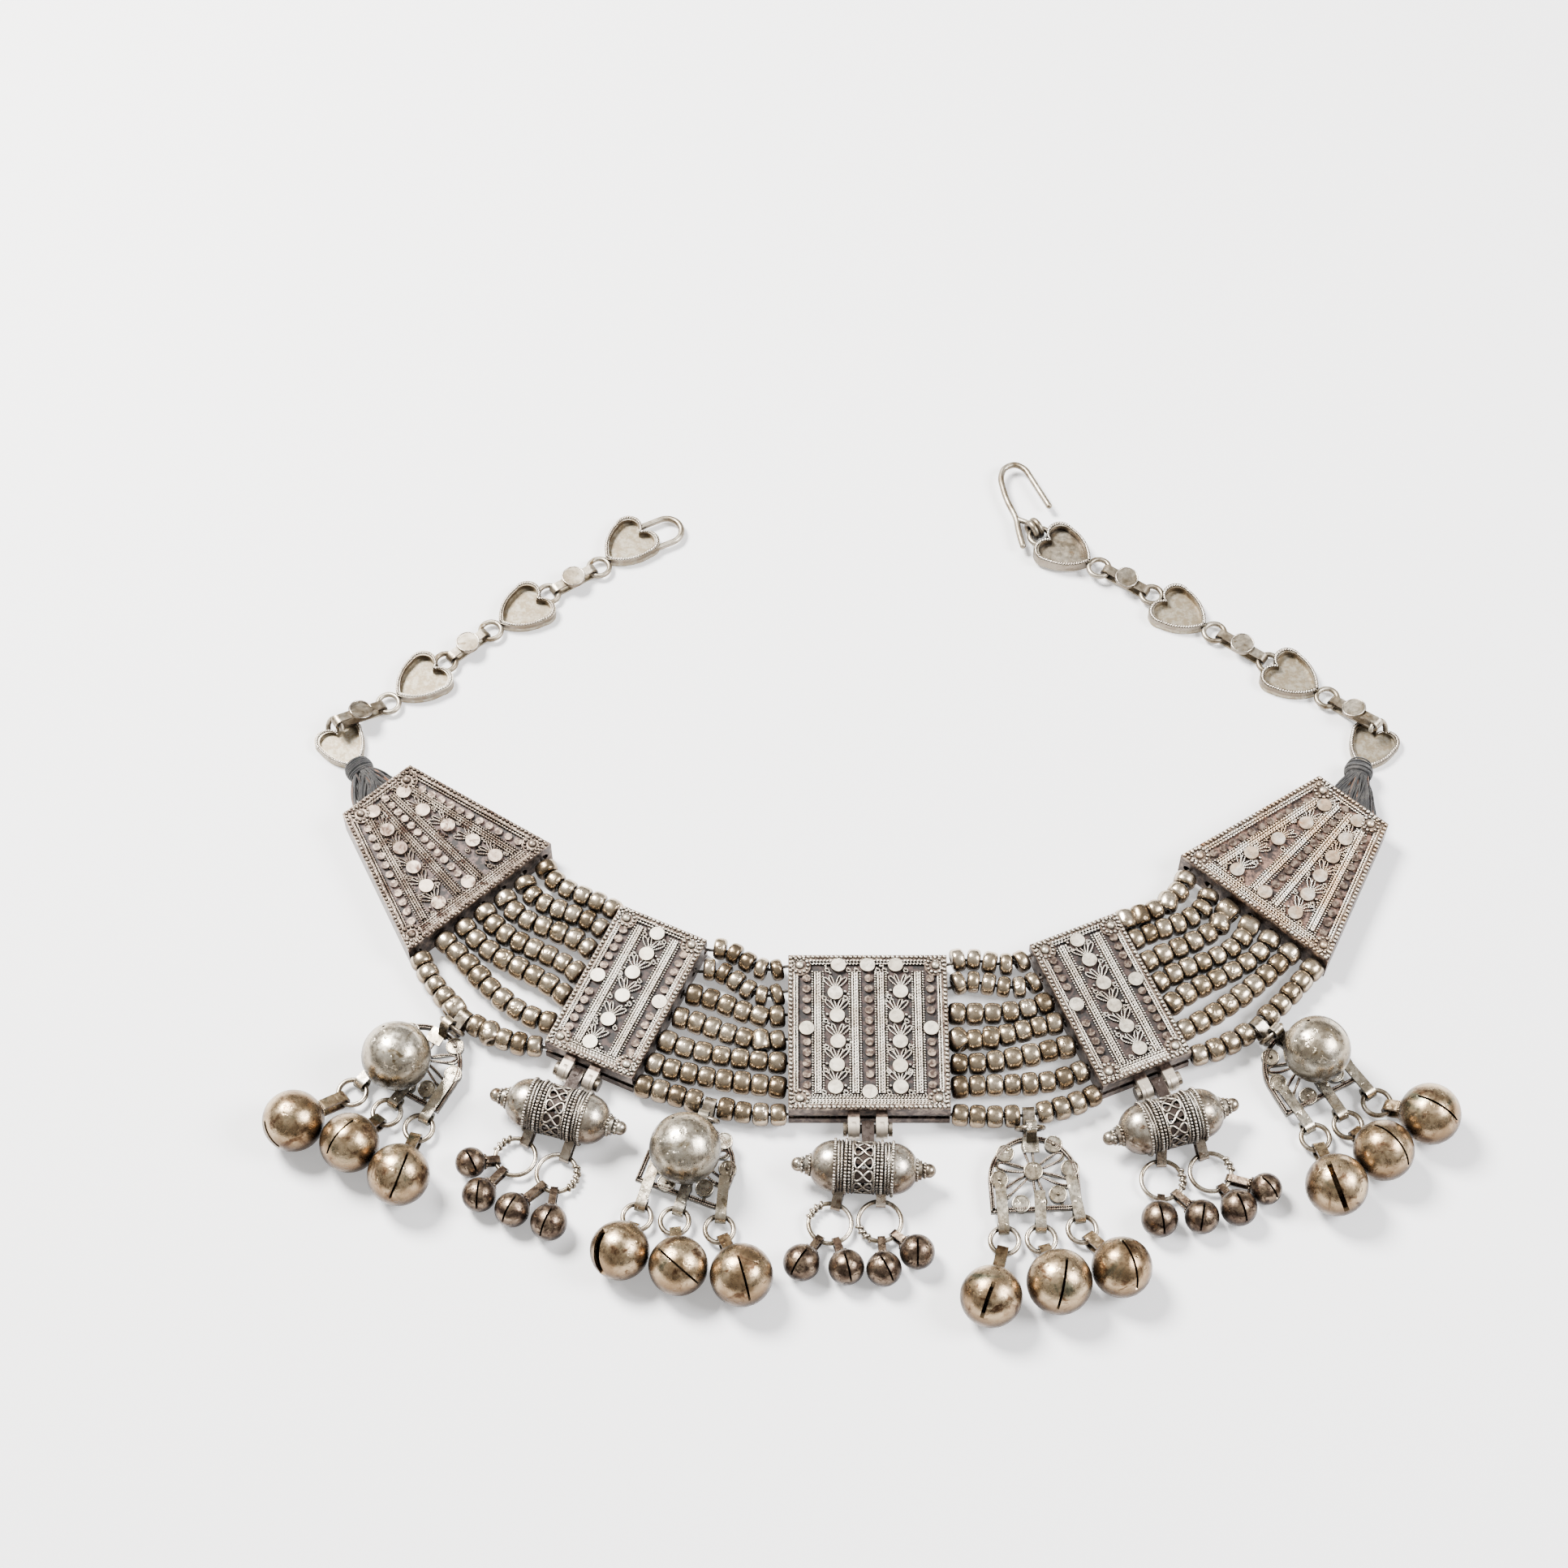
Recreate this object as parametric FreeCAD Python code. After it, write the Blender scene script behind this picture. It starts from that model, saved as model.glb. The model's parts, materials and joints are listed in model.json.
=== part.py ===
import FreeCAD, Part
import math
import os

# A folk silver choker, lying open on a table.
# Millimetres. X runs along the length of the laid out choker, Y away from the
# wearer's pendants towards the clasp, Z up. The origin is on the table under the
# middle of the whole piece.

# Plaques (hollow flat cases that spread the seven strings)
CASE_HEIGHT = 5.0
CASE_WALL = 0.7
PLAQUE_LENGTH = 30.4
MID_WIDTH = 17.2
CENTRE_WIDTH = 28.3
END_NARROW = 15.8
END_BASE = 33.2
RIM_TOP = 5.6
RIM_WIDTH = 1.0
PELLET_R = 1.33
PELLET_TOP = 5.75
SMALL_DISC_R = 0.72
SMALL_DISC_TOP = 5.5
ROSETTE_R = 1.95
STRING_HOLE_R = 0.9

# Bead strings
STRINGS = 7
STRING_PITCH = 4.9
STRING_Z = 2.5
BEAD_R = 1.86
BEAD_BORE_R = 0.75
BEAD_END_R = 1.1
BEAD_SHOULDER = 0.95
BEAD_GAP = 0.14
WALL_GAP = 0.12
THREAD_R = 0.28
BAIL_SHARE = 0.9

# Hinges of the three amulet cases
PIN_OFFSET = 2.6
PIN_Z = 2.9
PIN_R = 0.85
PIN_LENGTH = 8.6
KNUCKLE_R = 1.8
KNUCKLE_WIDTH = 2.0
KNUCKLE_PLACE = 2.45
AMULET_KNUCKLE_R = 1.6
AMULET_KNUCKLE_WIDTH = 2.1
PLAQUE_BORE_R = 0.88
AMULET_BORE_R = 0.91

# Amulet cases
TUBE_Z = 4.6
TUBE_R = 4.25
TUBE_WALL = 0.6
TUBE_LENGTH = 10.2
DOME_R = 4.45
RIDGE_R = 0.35

# Pendant plates, bells and rings
PLATE_R = 7.9
PLATE_CENTRE_Y = -1.4
PLATE_BOTTOM_Y = -7.2
PLATE_THICK = 0.9
PLATE_WIRE = 0.8
PLATE_HUB_R = 1.65
PLATE_DISC_R = 1.55
HUB_Z = 2.3
PLATE_TILT = 4.0
BAIL_R = 0.95
BAIL_THICK = 0.45
BAIL_WIDTH = 2.1
BAIL_STEP = 2.35
BAIL_RING_Z = 1.45
BAIL_RING_R = 2.3
BAIL_RING_TILT = 70.0
WIRE_R = 0.45
STRAP_EYE_R = 0.78
STRAP_THICK = 0.5
BELL_RING_R = 2.45
BELL_RING_Z = 1.5
BELL_SHELL = 0.5
BALL_SHELL = 0.6
SMALL_RING_WIRE = 0.4
SMALL_RING_Z = 1.3

# Chains
HEART_LENGTH = 11.5
HEART_WIDTH = 9.8
HEART_HEIGHT = 2.0
HEART_WALL = 0.8
HEART_FLOOR = 0.6
EYE_R = 2.0
EYE_WIRE = 0.5
CHAIN_Z = 1.2
LINK_R = 0.78
LINK_THICK = 0.42
LINK_WIDTH = 1.7
LINK_SEAT = 0.12
LINK_DISC_R = 2.25
HOOK_LIFT = 0.8
HOOK_WIRE = 0.6
CLASP_EYE_R = 2.95
CLASP_EYE_STRAIGHT = 3.5
# The last heart of each chain is smaller, its notch eye leans up over a lobe,
# and the knot holds it by a small eye at its tip.
LAST_SIZE = 0.91
TIP_RING = 1.25
LAST_HEIGHT = 1.4
LEAN_ANGLE = 55.0
LEAN_Z = 2.35

Vec = FreeCAD.Vector
UP = Vec(0, 0, 1)
ZERO = Vec(0, 0, 0)

os.makedirs("parts", exist_ok=True)


def cylinder(radius, height, base, axis=UP):
    return Part.makeCylinder(radius, height, base, axis)


def rod(radius, start, end):
    return Part.makeCylinder(radius, (end - start).Length, start, end - start)


def ball(radius, centre, axis=UP):
    return Part.makeSphere(radius, centre, axis)


def torus(radius, wire, centre, axis=UP):
    return Part.makeTorus(radius, wire, centre, axis)


def block(x0, x1, y0, y1, z0, z1):
    return Part.makeBox(x1 - x0, y1 - y0, z1 - z0, Vec(x0, y0, z0))


def placed(shape, x, y, turn, z=0.0):
    moved = shape.copy()
    moved.rotate(ZERO, UP, turn)
    moved.translate(Vec(x, y, z))
    return moved


def spot(x, y, turn, px, py, z=0.0):
    angle = math.radians(turn)
    return Vec(x + px * math.cos(angle) - py * math.sin(angle),
               y + px * math.sin(angle) + py * math.cos(angle), z)


def flat_unit(vector):
    level = Vec(vector.x, vector.y, 0)
    return level.multiply(1.0 / level.Length)


def prism(points, z0, z1):
    loop = [Vec(x, y, z0) for x, y in points]
    face = Part.Face(Part.makePolygon(loop + [loop[0]]))
    return face.extrude(Vec(0, 0, z1 - z0))


def inset(points, distance):
    """A smaller copy of a convex outline listed anticlockwise."""
    lines = []
    count = len(points)
    for i in range(count):
        ax, ay = points[i]
        bx, by = points[(i + 1) % count]
        length = math.hypot(bx - ax, by - ay)
        nx = -(by - ay) / length
        ny = (bx - ax) / length
        lines.append((ax + nx * distance, ay + ny * distance, bx - ax, by - ay))
    result = []
    for i in range(count):
        x1, y1, dx1, dy1 = lines[i - 1]
        x2, y2, dx2, dy2 = lines[i]
        cross = dx1 * dy2 - dy1 * dx2
        t = ((x2 - x1) * dy2 - (y2 - y1) * dx2) / cross
        result.append((x1 + dx1 * t, y1 + dy1 * t))
    return result


def joined(shapes):
    whole = shapes[0].multiFuse(shapes[1:])
    return whole.removeSplitter()


def frame_rotation(x_axis, z_axis):
    y_axis = z_axis.cross(x_axis)
    return FreeCAD.Matrix(x_axis.x, y_axis.x, z_axis.x, 0,
                          x_axis.y, y_axis.y, z_axis.y, 0,
                          x_axis.z, y_axis.z, z_axis.z, 0,
                          0, 0, 0, 1)


def set_in(shape, origin, x_axis, z_axis):
    """Moves a shape made about the world origin into the frame given."""
    matrix = frame_rotation(x_axis, z_axis)
    matrix.A14 = origin.x
    matrix.A24 = origin.y
    matrix.A34 = origin.z
    moved = shape.copy()
    moved.Placement = FreeCAD.Placement(matrix).multiply(moved.Placement)
    return moved


def strap_link(start, end, inner, thick, width):
    """An upright loop of flat strip round two level axes at start and end."""
    along = end - start
    length = along.Length
    level = flat_unit(along)
    side = UP.cross(level)
    x_axis = along.multiply(1.0 / length)
    normal = x_axis.cross(side)
    outer = inner + thick
    half = width / 2.0
    y_dir = Vec(0, 1, 0)
    solid = cylinder(outer, width, Vec(0, -half, 0), y_dir)
    solid = solid.fuse(cylinder(outer, width, Vec(length, -half, 0), y_dir))
    solid = solid.fuse(block(0, length, -half, half, -outer, outer))
    hole = cylinder(inner, width + 2, Vec(0, -half - 1, 0), y_dir)
    hole = hole.fuse(cylinder(inner, width + 2, Vec(length, -half - 1, 0), y_dir))
    hole = hole.fuse(block(0, length, -half - 1, half + 1, -inner, inner))
    return set_in(solid.cut(hole).removeSplitter(), start, x_axis, normal)


def eye_strap(eye, root, width, inner, thick, side=1):
    """A flat strip from root, rolled into an eye round a level axis at eye."""
    level = flat_unit(root - eye)
    distance = Vec(root.x - eye.x, root.y - eye.y, 0).Length
    rise = root.z - eye.z
    reach = math.hypot(distance, rise)
    middle = inner + thick / 2.0
    bearing = math.atan2(rise, distance)
    touch = bearing + side * math.acos(middle / reach)
    tx = middle * math.cos(touch)
    tz = middle * math.sin(touch)
    run = math.hypot(distance - tx, rise - tz)
    slope = math.degrees(math.atan2(rise - tz, distance - tx))
    half = width / 2.0
    y_dir = Vec(0, 1, 0)
    strip = block(0, run, -half, half, -thick / 2.0, thick / 2.0)
    strip.rotate(ZERO, y_dir, -slope)
    strip.translate(Vec(tx, 0, tz))
    roll = cylinder(inner + thick, width, Vec(0, -half, 0), y_dir)
    hole = cylinder(inner, width + 2, Vec(0, -half - 1, 0), y_dir)
    solid = roll.fuse(strip).cut(hole).removeSplitter()
    return set_in(solid, eye, level, UP)


def route(points):
    """Straight runs joined by tangent arcs, skipping points nearly in line."""
    kept = [points[0]]
    for i in range(1, len(points) - 1):
        before = points[i] - kept[-1]
        after = points[i + 1] - points[i]
        if math.degrees(before.getAngle(after)) > 1.2:
            kept.append(points[i])
    kept.append(points[-1])
    edges = []
    here = kept[0]
    for i in range(1, len(kept) - 1):
        corner = kept[i]
        back = kept[i - 1] - corner
        ahead = kept[i + 1] - corner
        cut = 0.45 * min(back.Length, ahead.Length)
        back.normalize()
        ahead.normalize()
        turn = math.pi - back.getAngle(ahead)
        radius = cut / math.tan(turn / 2.0)
        first = corner + back * cut
        last = corner + ahead * cut
        bisector = (back + ahead).normalize()
        middle = corner + bisector * (radius / math.cos(turn / 2.0) - radius)
        edges.append(Part.LineSegment(here, first).toShape())
        edges.append(Part.Arc(first, middle, last).toShape())
        here = last
    edges.append(Part.LineSegment(here, kept[-1]).toShape())
    return Part.Wire(edges)


def tube(path, radius):
    start = path.Edges[0].valueAt(path.Edges[0].FirstParameter)
    heading = path.Edges[0].tangentAt(path.Edges[0].FirstParameter)
    profile = Part.Wire(Part.makeCircle(radius, start, heading))
    solid = path.makePipeShell([profile], True, False)
    if solid.Volume < 0:
        solid.reverse()
    return solid


def write(name, shape):
    solids = shape.Solids
    good = all(s.isValid() and s.Volume > 0 for s in solids)
    print("%-22s solids %3d  volume %9.2f  %s" % (
        name, len(solids), sum(s.Volume for s in solids), "ok" if good else "BAD"))
    if len(solids) == 1:
        shape = solids[0]
    shape.exportStep("parts/" + name + ".step")


# Where each plaque lies: middle, and turn anticlockwise. Local +y is the upper
# side, which is the narrow one on the two end plaques.
PLACES = {
    "end_left": (-78.55, 1.65, 41.8),
    "mid_left": (-41.5, -28.8, -24.9),
    "centre": (1.4, -36.9, 0.0),
    "mid_right": (44.3, -30.3, 22.8),
    "end_right": (81.3, -0.7, -41.5),
}
WIDTHS = {"mid_left": MID_WIDTH, "centre": CENTRE_WIDTH, "mid_right": MID_WIDTH}

# Large pellets of each plaque, (x, y) on its face
PELLETS = {
    "centre": [(-5.2, 13.2), (0.0, 13.2), (5.0, 13.2),
               (-5.8, 7.6), (-5.5, 3.1), (-5.4, -2.0), (-5.6, -6.6), (-5.9, -10.9),
               (5.8, 7.9), (5.0, 3.0), (5.6, -2.0), (5.5, -6.8), (5.5, -10.9),
               (0.1, -11.8), (-10.9, 0.6), (11.1, 0.6)],
    "mid_left": [(-0.1, 12.6), (0.0, 8.1), (-0.6, 3.7), (-0.2, -1.2), (-0.4, -6.5),
                 (-1.3, -11.8), (-6.0, 0.6), (6.3, 0.4)],
    "mid_right": [(-0.3, 12.7), (0.0, 8.3), (0.3, 3.1), (0.1, -1.7), (0.3, -6.2),
                  (0.5, -11.0), (5.9, 1.6), (-6.0, 1.1)],
    "end_right": [(-3.4, 10.7), (-3.6, 5.4), (-5.4, -0.7), (-7.3, -6.3), (-7.1, -10.8),
                  (3.2, 12.0), (3.8, 7.4), (4.3, 2.8), (5.0, -1.9), (5.6, -6.5),
                  (6.2, -11.0), (-0.5, -11.2)],
    "end_left": [(3.4, 11.4), (3.6, 6.0), (5.0, 0.4), (6.4, -5.2), (7.4, -10.4),
                 (-3.4, 11.8), (-3.9, 7.0), (-4.5, 2.4), (-5.2, -2.4), (-5.9, -7.0),
                 (-6.4, -11.2), (0.3, -11.4)],
}


def face_disc(x, y, radius, top):
    return cylinder(radius, top - CASE_HEIGHT + 0.2, Vec(x, y, CASE_HEIGHT - 0.2))


def rosette(x, y):
    return [face_disc(x, y, ROSETTE_R, 5.55), ball(0.8, Vec(x, y, 5.45))]


def disc_row(x0, y0, x1, y1, count, skip):
    """Small flat discs evenly along a line, clear of the large pellets."""
    row = []
    for i in range(count):
        t = i / (count - 1.0)
        x = x0 + (x1 - x0) * t
        y = y0 + (y1 - y0) * t
        if all(math.hypot(x - px, y - py) > PELLET_R + SMALL_DISC_R + 0.1
               for px, py in skip):
            row.append(face_disc(x, y, SMALL_DISC_R, SMALL_DISC_TOP))
    return row


def bar(x0, y0, x1, y1, width, top):
    """A low bar along a line on the face."""
    length = math.hypot(x1 - x0, y1 - y0)
    solid = block(0, length, -width / 2.0, width / 2.0, CASE_HEIGHT - 0.2, top)
    return placed(solid, x0, y0, math.degrees(math.atan2(y1 - y0, x1 - x0)))


def knuckle(x, bore):
    """A ribbed strip rolled round the hinge pin, on the plaque's lower wall."""
    wall = -PLAQUE_LENGTH / 2.0
    axis_y = wall - PIN_OFFSET
    x_dir = Vec(1, 0, 0)
    third = KNUCKLE_WIDTH / 3.0
    left = x - KNUCKLE_WIDTH / 2.0
    pieces = []
    for i, radius in enumerate((KNUCKLE_R - 0.15, KNUCKLE_R, KNUCKLE_R - 0.15)):
        pieces.append(cylinder(radius, third, Vec(left + i * third, axis_y, PIN_Z), x_dir))
    pieces.append(block(left, left + KNUCKLE_WIDTH, axis_y, wall + 0.3,
                        PIN_Z + 0.5, PIN_Z + KNUCKLE_R - 0.15))
    pieces.append(block(left, left + KNUCKLE_WIDTH, axis_y, wall + 0.3,
                        PIN_Z - KNUCKLE_R + 0.15, PIN_Z - 0.5))
    hole = cylinder(bore, KNUCKLE_WIDTH + 2, Vec(left - 1, axis_y, PIN_Z), x_dir)
    return joined(pieces), hole


def plaque(name, hinge_x=None):
    """One hollow case with its raised rim, pellets, discs, bars and rosettes."""
    half = PLAQUE_LENGTH / 2.0
    if name in WIDTHS:
        side = WIDTHS[name] / 2.0
        outline = [(-side, -half), (side, -half), (side, half), (-side, half)]
    else:
        base = END_BASE / 2.0
        top = END_NARROW / 2.0
        outline = [(-base, -half), (base, -half), (top, half), (-top, half)]
    pellets = PELLETS[name]
    pieces = [prism(outline, 0, CASE_HEIGHT)]
    rim = prism(outline, CASE_HEIGHT - 0.2, RIM_TOP)
    rim = rim.cut(prism(inset(outline, RIM_WIDTH), CASE_HEIGHT - 0.3, RIM_TOP + 1))
    pieces.append(rim)
    for x, y in pellets:
        pieces.append(face_disc(x, y, PELLET_R, PELLET_TOP))
    if name == "centre":
        for x in (-12.1, 12.1):
            for y in (-13.1, 13.1):
                pieces += rosette(x, y)
        for x in (-10.9, 0.15, 11.1):
            pieces += disc_row(x, -10.4, x, 10.6, 11, pellets)
        for x in (-8.9, -2.3, 2.3, 8.9):
            pieces.append(bar(x, -12.0, x, 12.0, 1.3, CASE_HEIGHT + 0.2))
    elif name in WIDTHS:
        for x in (-6.5, 6.5):
            for y in (-13.1, 13.1):
                pieces += rosette(x, y)
        for x in (-6.0, 6.0):
            pieces += disc_row(x, -10.6, x, 10.8, 12, pellets)
        for x in (-3.5, 3.5):
            pieces.append(bar(x, -12.6, x, 12.8, 1.3, CASE_HEIGHT + 0.2))
    else:
        for x, y in ((-5.4, 13.0), (5.4, 13.0), (-14.0, -13.0), (14.0, -13.0)):
            pieces += rosette(x, y)
        for sign in (-1, 1):
            pieces += disc_row(sign * 6.3, 9.6, sign * 12.4, -10.8, 11, pellets)
        pieces += disc_row(0.0, 12.6, 0.0, -8.6, 12, pellets)
        for sign in (-1, 1):
            pieces.append(bar(sign * 1.5, 12.6, sign * 2.4, -12.0, 1.0, CASE_HEIGHT + 0.2))
            pieces.append(bar(sign * 5.0, 11.0, sign * 10.4, -12.0, 1.0, CASE_HEIGHT + 0.2))
        pieces.append(bar(-12.0, -13.2, 12.0, -13.2, 1.5, CASE_HEIGHT + 0.2))
    holes = []
    if hinge_x is not None:
        for place in (-KNUCKLE_PLACE, KNUCKLE_PLACE):
            solid, hole = knuckle(hinge_x + place, PLAQUE_BORE_R)
            pieces.append(solid)
            holes.append(hole)
    body = joined(pieces)
    body = body.cut(prism(inset(outline, CASE_WALL), 0.7, CASE_HEIGHT - 0.6))
    for k in range(1, STRINGS + 1):
        place = (4 - k) * STRING_PITCH
        if name in WIDTHS:
            holes.append(cylinder(STRING_HOLE_R, WIDTHS[name] + 2,
                                  Vec(-side - 1, place, STRING_Z), Vec(1, 0, 0)))
        else:
            holes.append(cylinder(STRING_HOLE_R, 3, Vec(place, -half - 1, STRING_Z),
                                  Vec(0, 1, 0)))
    if name not in WIDTHS:
        holes.append(cylinder(TAIL_HOLE_R, 3, Vec(0, half - 2, STRING_Z), Vec(0, 1, 0)))
    body = body.cut(Part.makeCompound(holes))
    return placed(body, *PLACES[name])


TAIL_R = 1.3
TAIL_HOLE_R = 1.5
TAIL_LENGTH = 1.9

write("end_plaque_left", plaque("end_left"))
write("end_plaque_right", plaque("end_right"))
HINGE_X = {"mid_left": -0.9, "centre": -0.3, "mid_right": 1.0}
write("mid_plaque_left", plaque("mid_left", HINGE_X["mid_left"]))
write("centre_plaque", plaque("centre", HINGE_X["centre"]))
write("mid_plaque_right", plaque("mid_right", HINGE_X["mid_right"]))


# Bead strings. Each row is one stretch of one string between two plaques:
# stretch, string counted from the neck edge, beads on it, and the two points
# that its sagging line passes through.
STRETCHES = [
    ("A", 1, 6, (-54.5, -5.5), (-49.0, -8.5)),
    ("A", 2, 7, (-58.0, -9.0), (-51.5, -12.0)),
    ("A", 3, 7, (-60.0, -13.0), (-53.0, -16.0)),
    ("A", 4, 8, (-63.0, -16.5), (-55.5, -20.5)),
    ("A", 5, 8, (-65.5, -20.0), (-58.0, -24.5)),
    ("A", 6, 9, (-69.0, -23.5), (-62.5, -30.0)),
    ("A", 7, 10, (-76.0, -26.0), (-68.5, -34.0)),
    ("B", 1, 5, (-23.0, -19.5), (-18.5, -22.5)),
    ("B", 2, 6, (-24.0, -24.0), (-19.5, -27.5)),
    ("B", 3, 6, (-25.5, -29.5), (-19.5, -32.0)),
    ("B", 4, 7, (-27.0, -34.5), (-20.0, -37.0)),
    ("B", 5, 7, (-28.5, -39.5), (-20.5, -41.0)),
    ("B", 6, 8, (-29.5, -44.0), (-21.0, -45.5)),
    ("B", 7, 8, (-31.0, -48.5), (-22.0, -51.0)),
    ("C", 1, 5, (20.5, -21.0), (25.5, -22.0)),
    ("C", 2, 6, (20.0, -25.5), (25.5, -26.5)),
    ("C", 3, 6, (22.0, -32.0), (28.0, -31.5)),
    ("C", 4, 7, (22.0, -37.0), (28.5, -35.5)),
    ("C", 5, 7, (23.5, -41.5), (30.5, -40.0)),
    ("C", 6, 8, (24.0, -46.0), (32.0, -45.5)),
    ("C", 7, 8, (23.5, -52.1), (33.0, -51.0)),
    ("D", 1, 6, (52.5, -11.5), (57.5, -8.0)),
    ("D", 2, 7, (54.5, -15.0), (61.5, -11.5)),
    ("D", 3, 7, (57.0, -19.0), (64.0, -15.0)),
    ("D", 4, 8, (58.5, -23.0), (66.0, -19.5)),
    ("D", 5, 8, (61.0, -26.5), (68.5, -22.5)),
    ("D", 6, 9, (64.5, -31.0), (71.5, -25.5)),
    ("D", 7, 9, (67.5, -36.5), (75.5, -29.5)),
]
ENDS = {"A": ("end_left", "mid_left"), "B": ("mid_left", "centre"),
        "C": ("centre", "mid_right"), "D": ("mid_right", "end_right")}
# Beads of the lowest string before the strap of each pendant
BAIL_AFTER = {"A": 5, "B": 4, "C": 4, "D": 4}
BEAD_SIZES = (0.0, -0.05, 0.03, -0.02, 0.04, -0.06, 0.01)


def string_hole(name, string, leaving):
    place = (4 - string) * STRING_PITCH
    half = PLAQUE_LENGTH / 2.0
    if name == "end_left":
        return spot(*PLACES[name], place, -half, STRING_Z)
    if name == "end_right":
        return spot(*PLACES[name], -place, -half, STRING_Z)
    side = WIDTHS[name] / 2.0 if leaving else -WIDTHS[name] / 2.0
    return spot(*PLACES[name], side, place, STRING_Z)


def bead(length, radius):
    """A barrel bead about the X axis, turned in one piece and bored through."""
    h = length / 2.0
    s = BEAD_SHOULDER
    q = s * math.sqrt(0.5)
    right = Vec(h - s + q, radius - s + q, 0)
    left = Vec(-h + s - q, radius - s + q, 0)
    edges = [
        Part.LineSegment(Vec(-h, BEAD_BORE_R, 0), Vec(h, BEAD_BORE_R, 0)).toShape(),
        Part.LineSegment(Vec(h, BEAD_BORE_R, 0), Vec(h, radius - s, 0)).toShape(),
        Part.Arc(Vec(h, radius - s, 0), right, Vec(h - s, radius, 0)).toShape(),
        Part.LineSegment(Vec(h - s, radius, 0), Vec(-h + s, radius, 0)).toShape(),
        Part.Arc(Vec(-h + s, radius, 0), left, Vec(-h, radius - s, 0)).toShape(),
        Part.LineSegment(Vec(-h, radius - s, 0), Vec(-h, BEAD_BORE_R, 0)).toShape(),
    ]
    face = Part.Face(Part.Wire(edges))
    return face.revolve(ZERO, Vec(1, 0, 0), 360)


def wall_normal(name, leaving):
    if name not in WIDTHS:
        return spot(0, 0, PLACES[name][2], 0, -1)
    return spot(0, 0, PLACES[name][2], 1 if leaving else -1, 0)


def end_gap(curve, distance, hole, name, leaving):
    """Room between a wall and the first bead, more where the string slants."""
    at = curve.value(curve.parameterAtDistance(distance, curve.FirstParameter))
    slant = (at - hole).getAngle(wall_normal(name, leaving))
    corner = BEAD_END_R * math.tan(slant)
    shoulder = BEAD_SHOULDER * (1.0 / math.cos(slant) - 1.0)
    return WALL_GAP + corner + shoulder


string_beads = {k: [] for k in range(1, STRINGS + 1)}
string_path = {k: [] for k in range(1, STRINGS + 1)}
bail_points = {}
serial = 0
for stretch, string, count, first_via, second_via in STRETCHES:
    begin, finish = ENDS[stretch]
    start = string_hole(begin, string, True)
    stop = string_hole(finish, string, False)
    curve = Part.BSplineCurve()
    curve.interpolate([start, Vec(first_via[0], first_via[1], STRING_Z),
                       Vec(second_via[0], second_via[1], STRING_Z), stop])
    total = curve.length()
    strapped = string == STRINGS
    places = count + (BAIL_SHARE if strapped else 0.0)
    first_gap = end_gap(curve, 1.6, start, begin, True)
    last_gap = end_gap(curve, total - 1.6, stop, finish, False)
    step = (total - first_gap - last_gap) / places
    marks = [first_gap]
    middles = []
    for i in range(count):
        middles.append(marks[-1] + step / 2.0)
        marks.append(marks[-1] + step)
        if strapped and i + 1 == BAIL_AFTER[stretch]:
            gap_middle = marks[-1] + BAIL_SHARE * step / 2.0
            at = curve.value(curve.parameterAtDistance(gap_middle, curve.FirstParameter))
            bail_points[stretch] = at
            marks.append(marks[-1] + BAIL_SHARE * step)
    headings = []
    points = []
    for middle in middles:
        u = curve.parameterAtDistance(middle, curve.FirstParameter)
        points.append(curve.value(u))
        low = curve.value(curve.parameterAtDistance(middle - step / 2.2, curve.FirstParameter))
        high = curve.value(curve.parameterAtDistance(middle + step / 2.2, curve.FirstParameter))
        headings.append((high - low).normalize())
    for i in range(count):
        bend = 0.0
        if i > 0:
            bend = max(bend, headings[i].getAngle(headings[i - 1]))
        if i < count - 1:
            bend = max(bend, headings[i].getAngle(headings[i + 1]))
        length = step - BEAD_GAP - 2 * BEAD_END_R * math.tan(bend / 2.0)
        radius = BEAD_R + BEAD_SIZES[serial % len(BEAD_SIZES)]
        serial += 1
        solid = bead(length, radius)
        string_beads[string].append(set_in(solid, points[i], headings[i], UP))
    string_path[string].append(start)
    for mark in marks[1:-1]:
        u = curve.parameterAtDistance(mark, curve.FirstParameter)
        string_path[string].append(curve.value(u))
    string_path[string].append(stop)

for string in range(1, STRINGS + 1):
    write("bead_string_%d" % string, Part.makeCompound(string_beads[string]))

# The stringing threads: one along each string, gathered to a round tail that
# leaves each end plaque through its narrow side.
TAIL_SPOTS = [(-0.9, 0.0), (-0.45, 0.78), (-0.45, -0.78), (0.0, 0.0),
              (0.45, 0.78), (0.45, -0.78), (0.9, 0.0)]
threads = []
half = PLAQUE_LENGTH / 2.0
for string in range(1, STRINGS + 1):
    sx, sz = TAIL_SPOTS[string - 1]
    left = [spot(*PLACES["end_left"], -sx, half + 1.0, STRING_Z + sz),
            spot(*PLACES["end_left"], -sx, half - 2.5, STRING_Z + sz)]
    right = [spot(*PLACES["end_right"], sx, half - 2.5, STRING_Z + sz),
             spot(*PLACES["end_right"], sx, half + 1.0, STRING_Z + sz)]
    threads.append(tube(route(left + string_path[string] + right), THREAD_R))
for name in ("end_left", "end_right"):
    foot = spot(*PLACES[name], 0, half - 0.3, STRING_Z)
    head = spot(*PLACES[name], 0, half + TAIL_LENGTH, STRING_Z)
    threads.append(rod(TAIL_R, foot, head))
stringing = threads[0].multiFuse(threads[1:])
write("stringing_threads", stringing)


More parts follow.
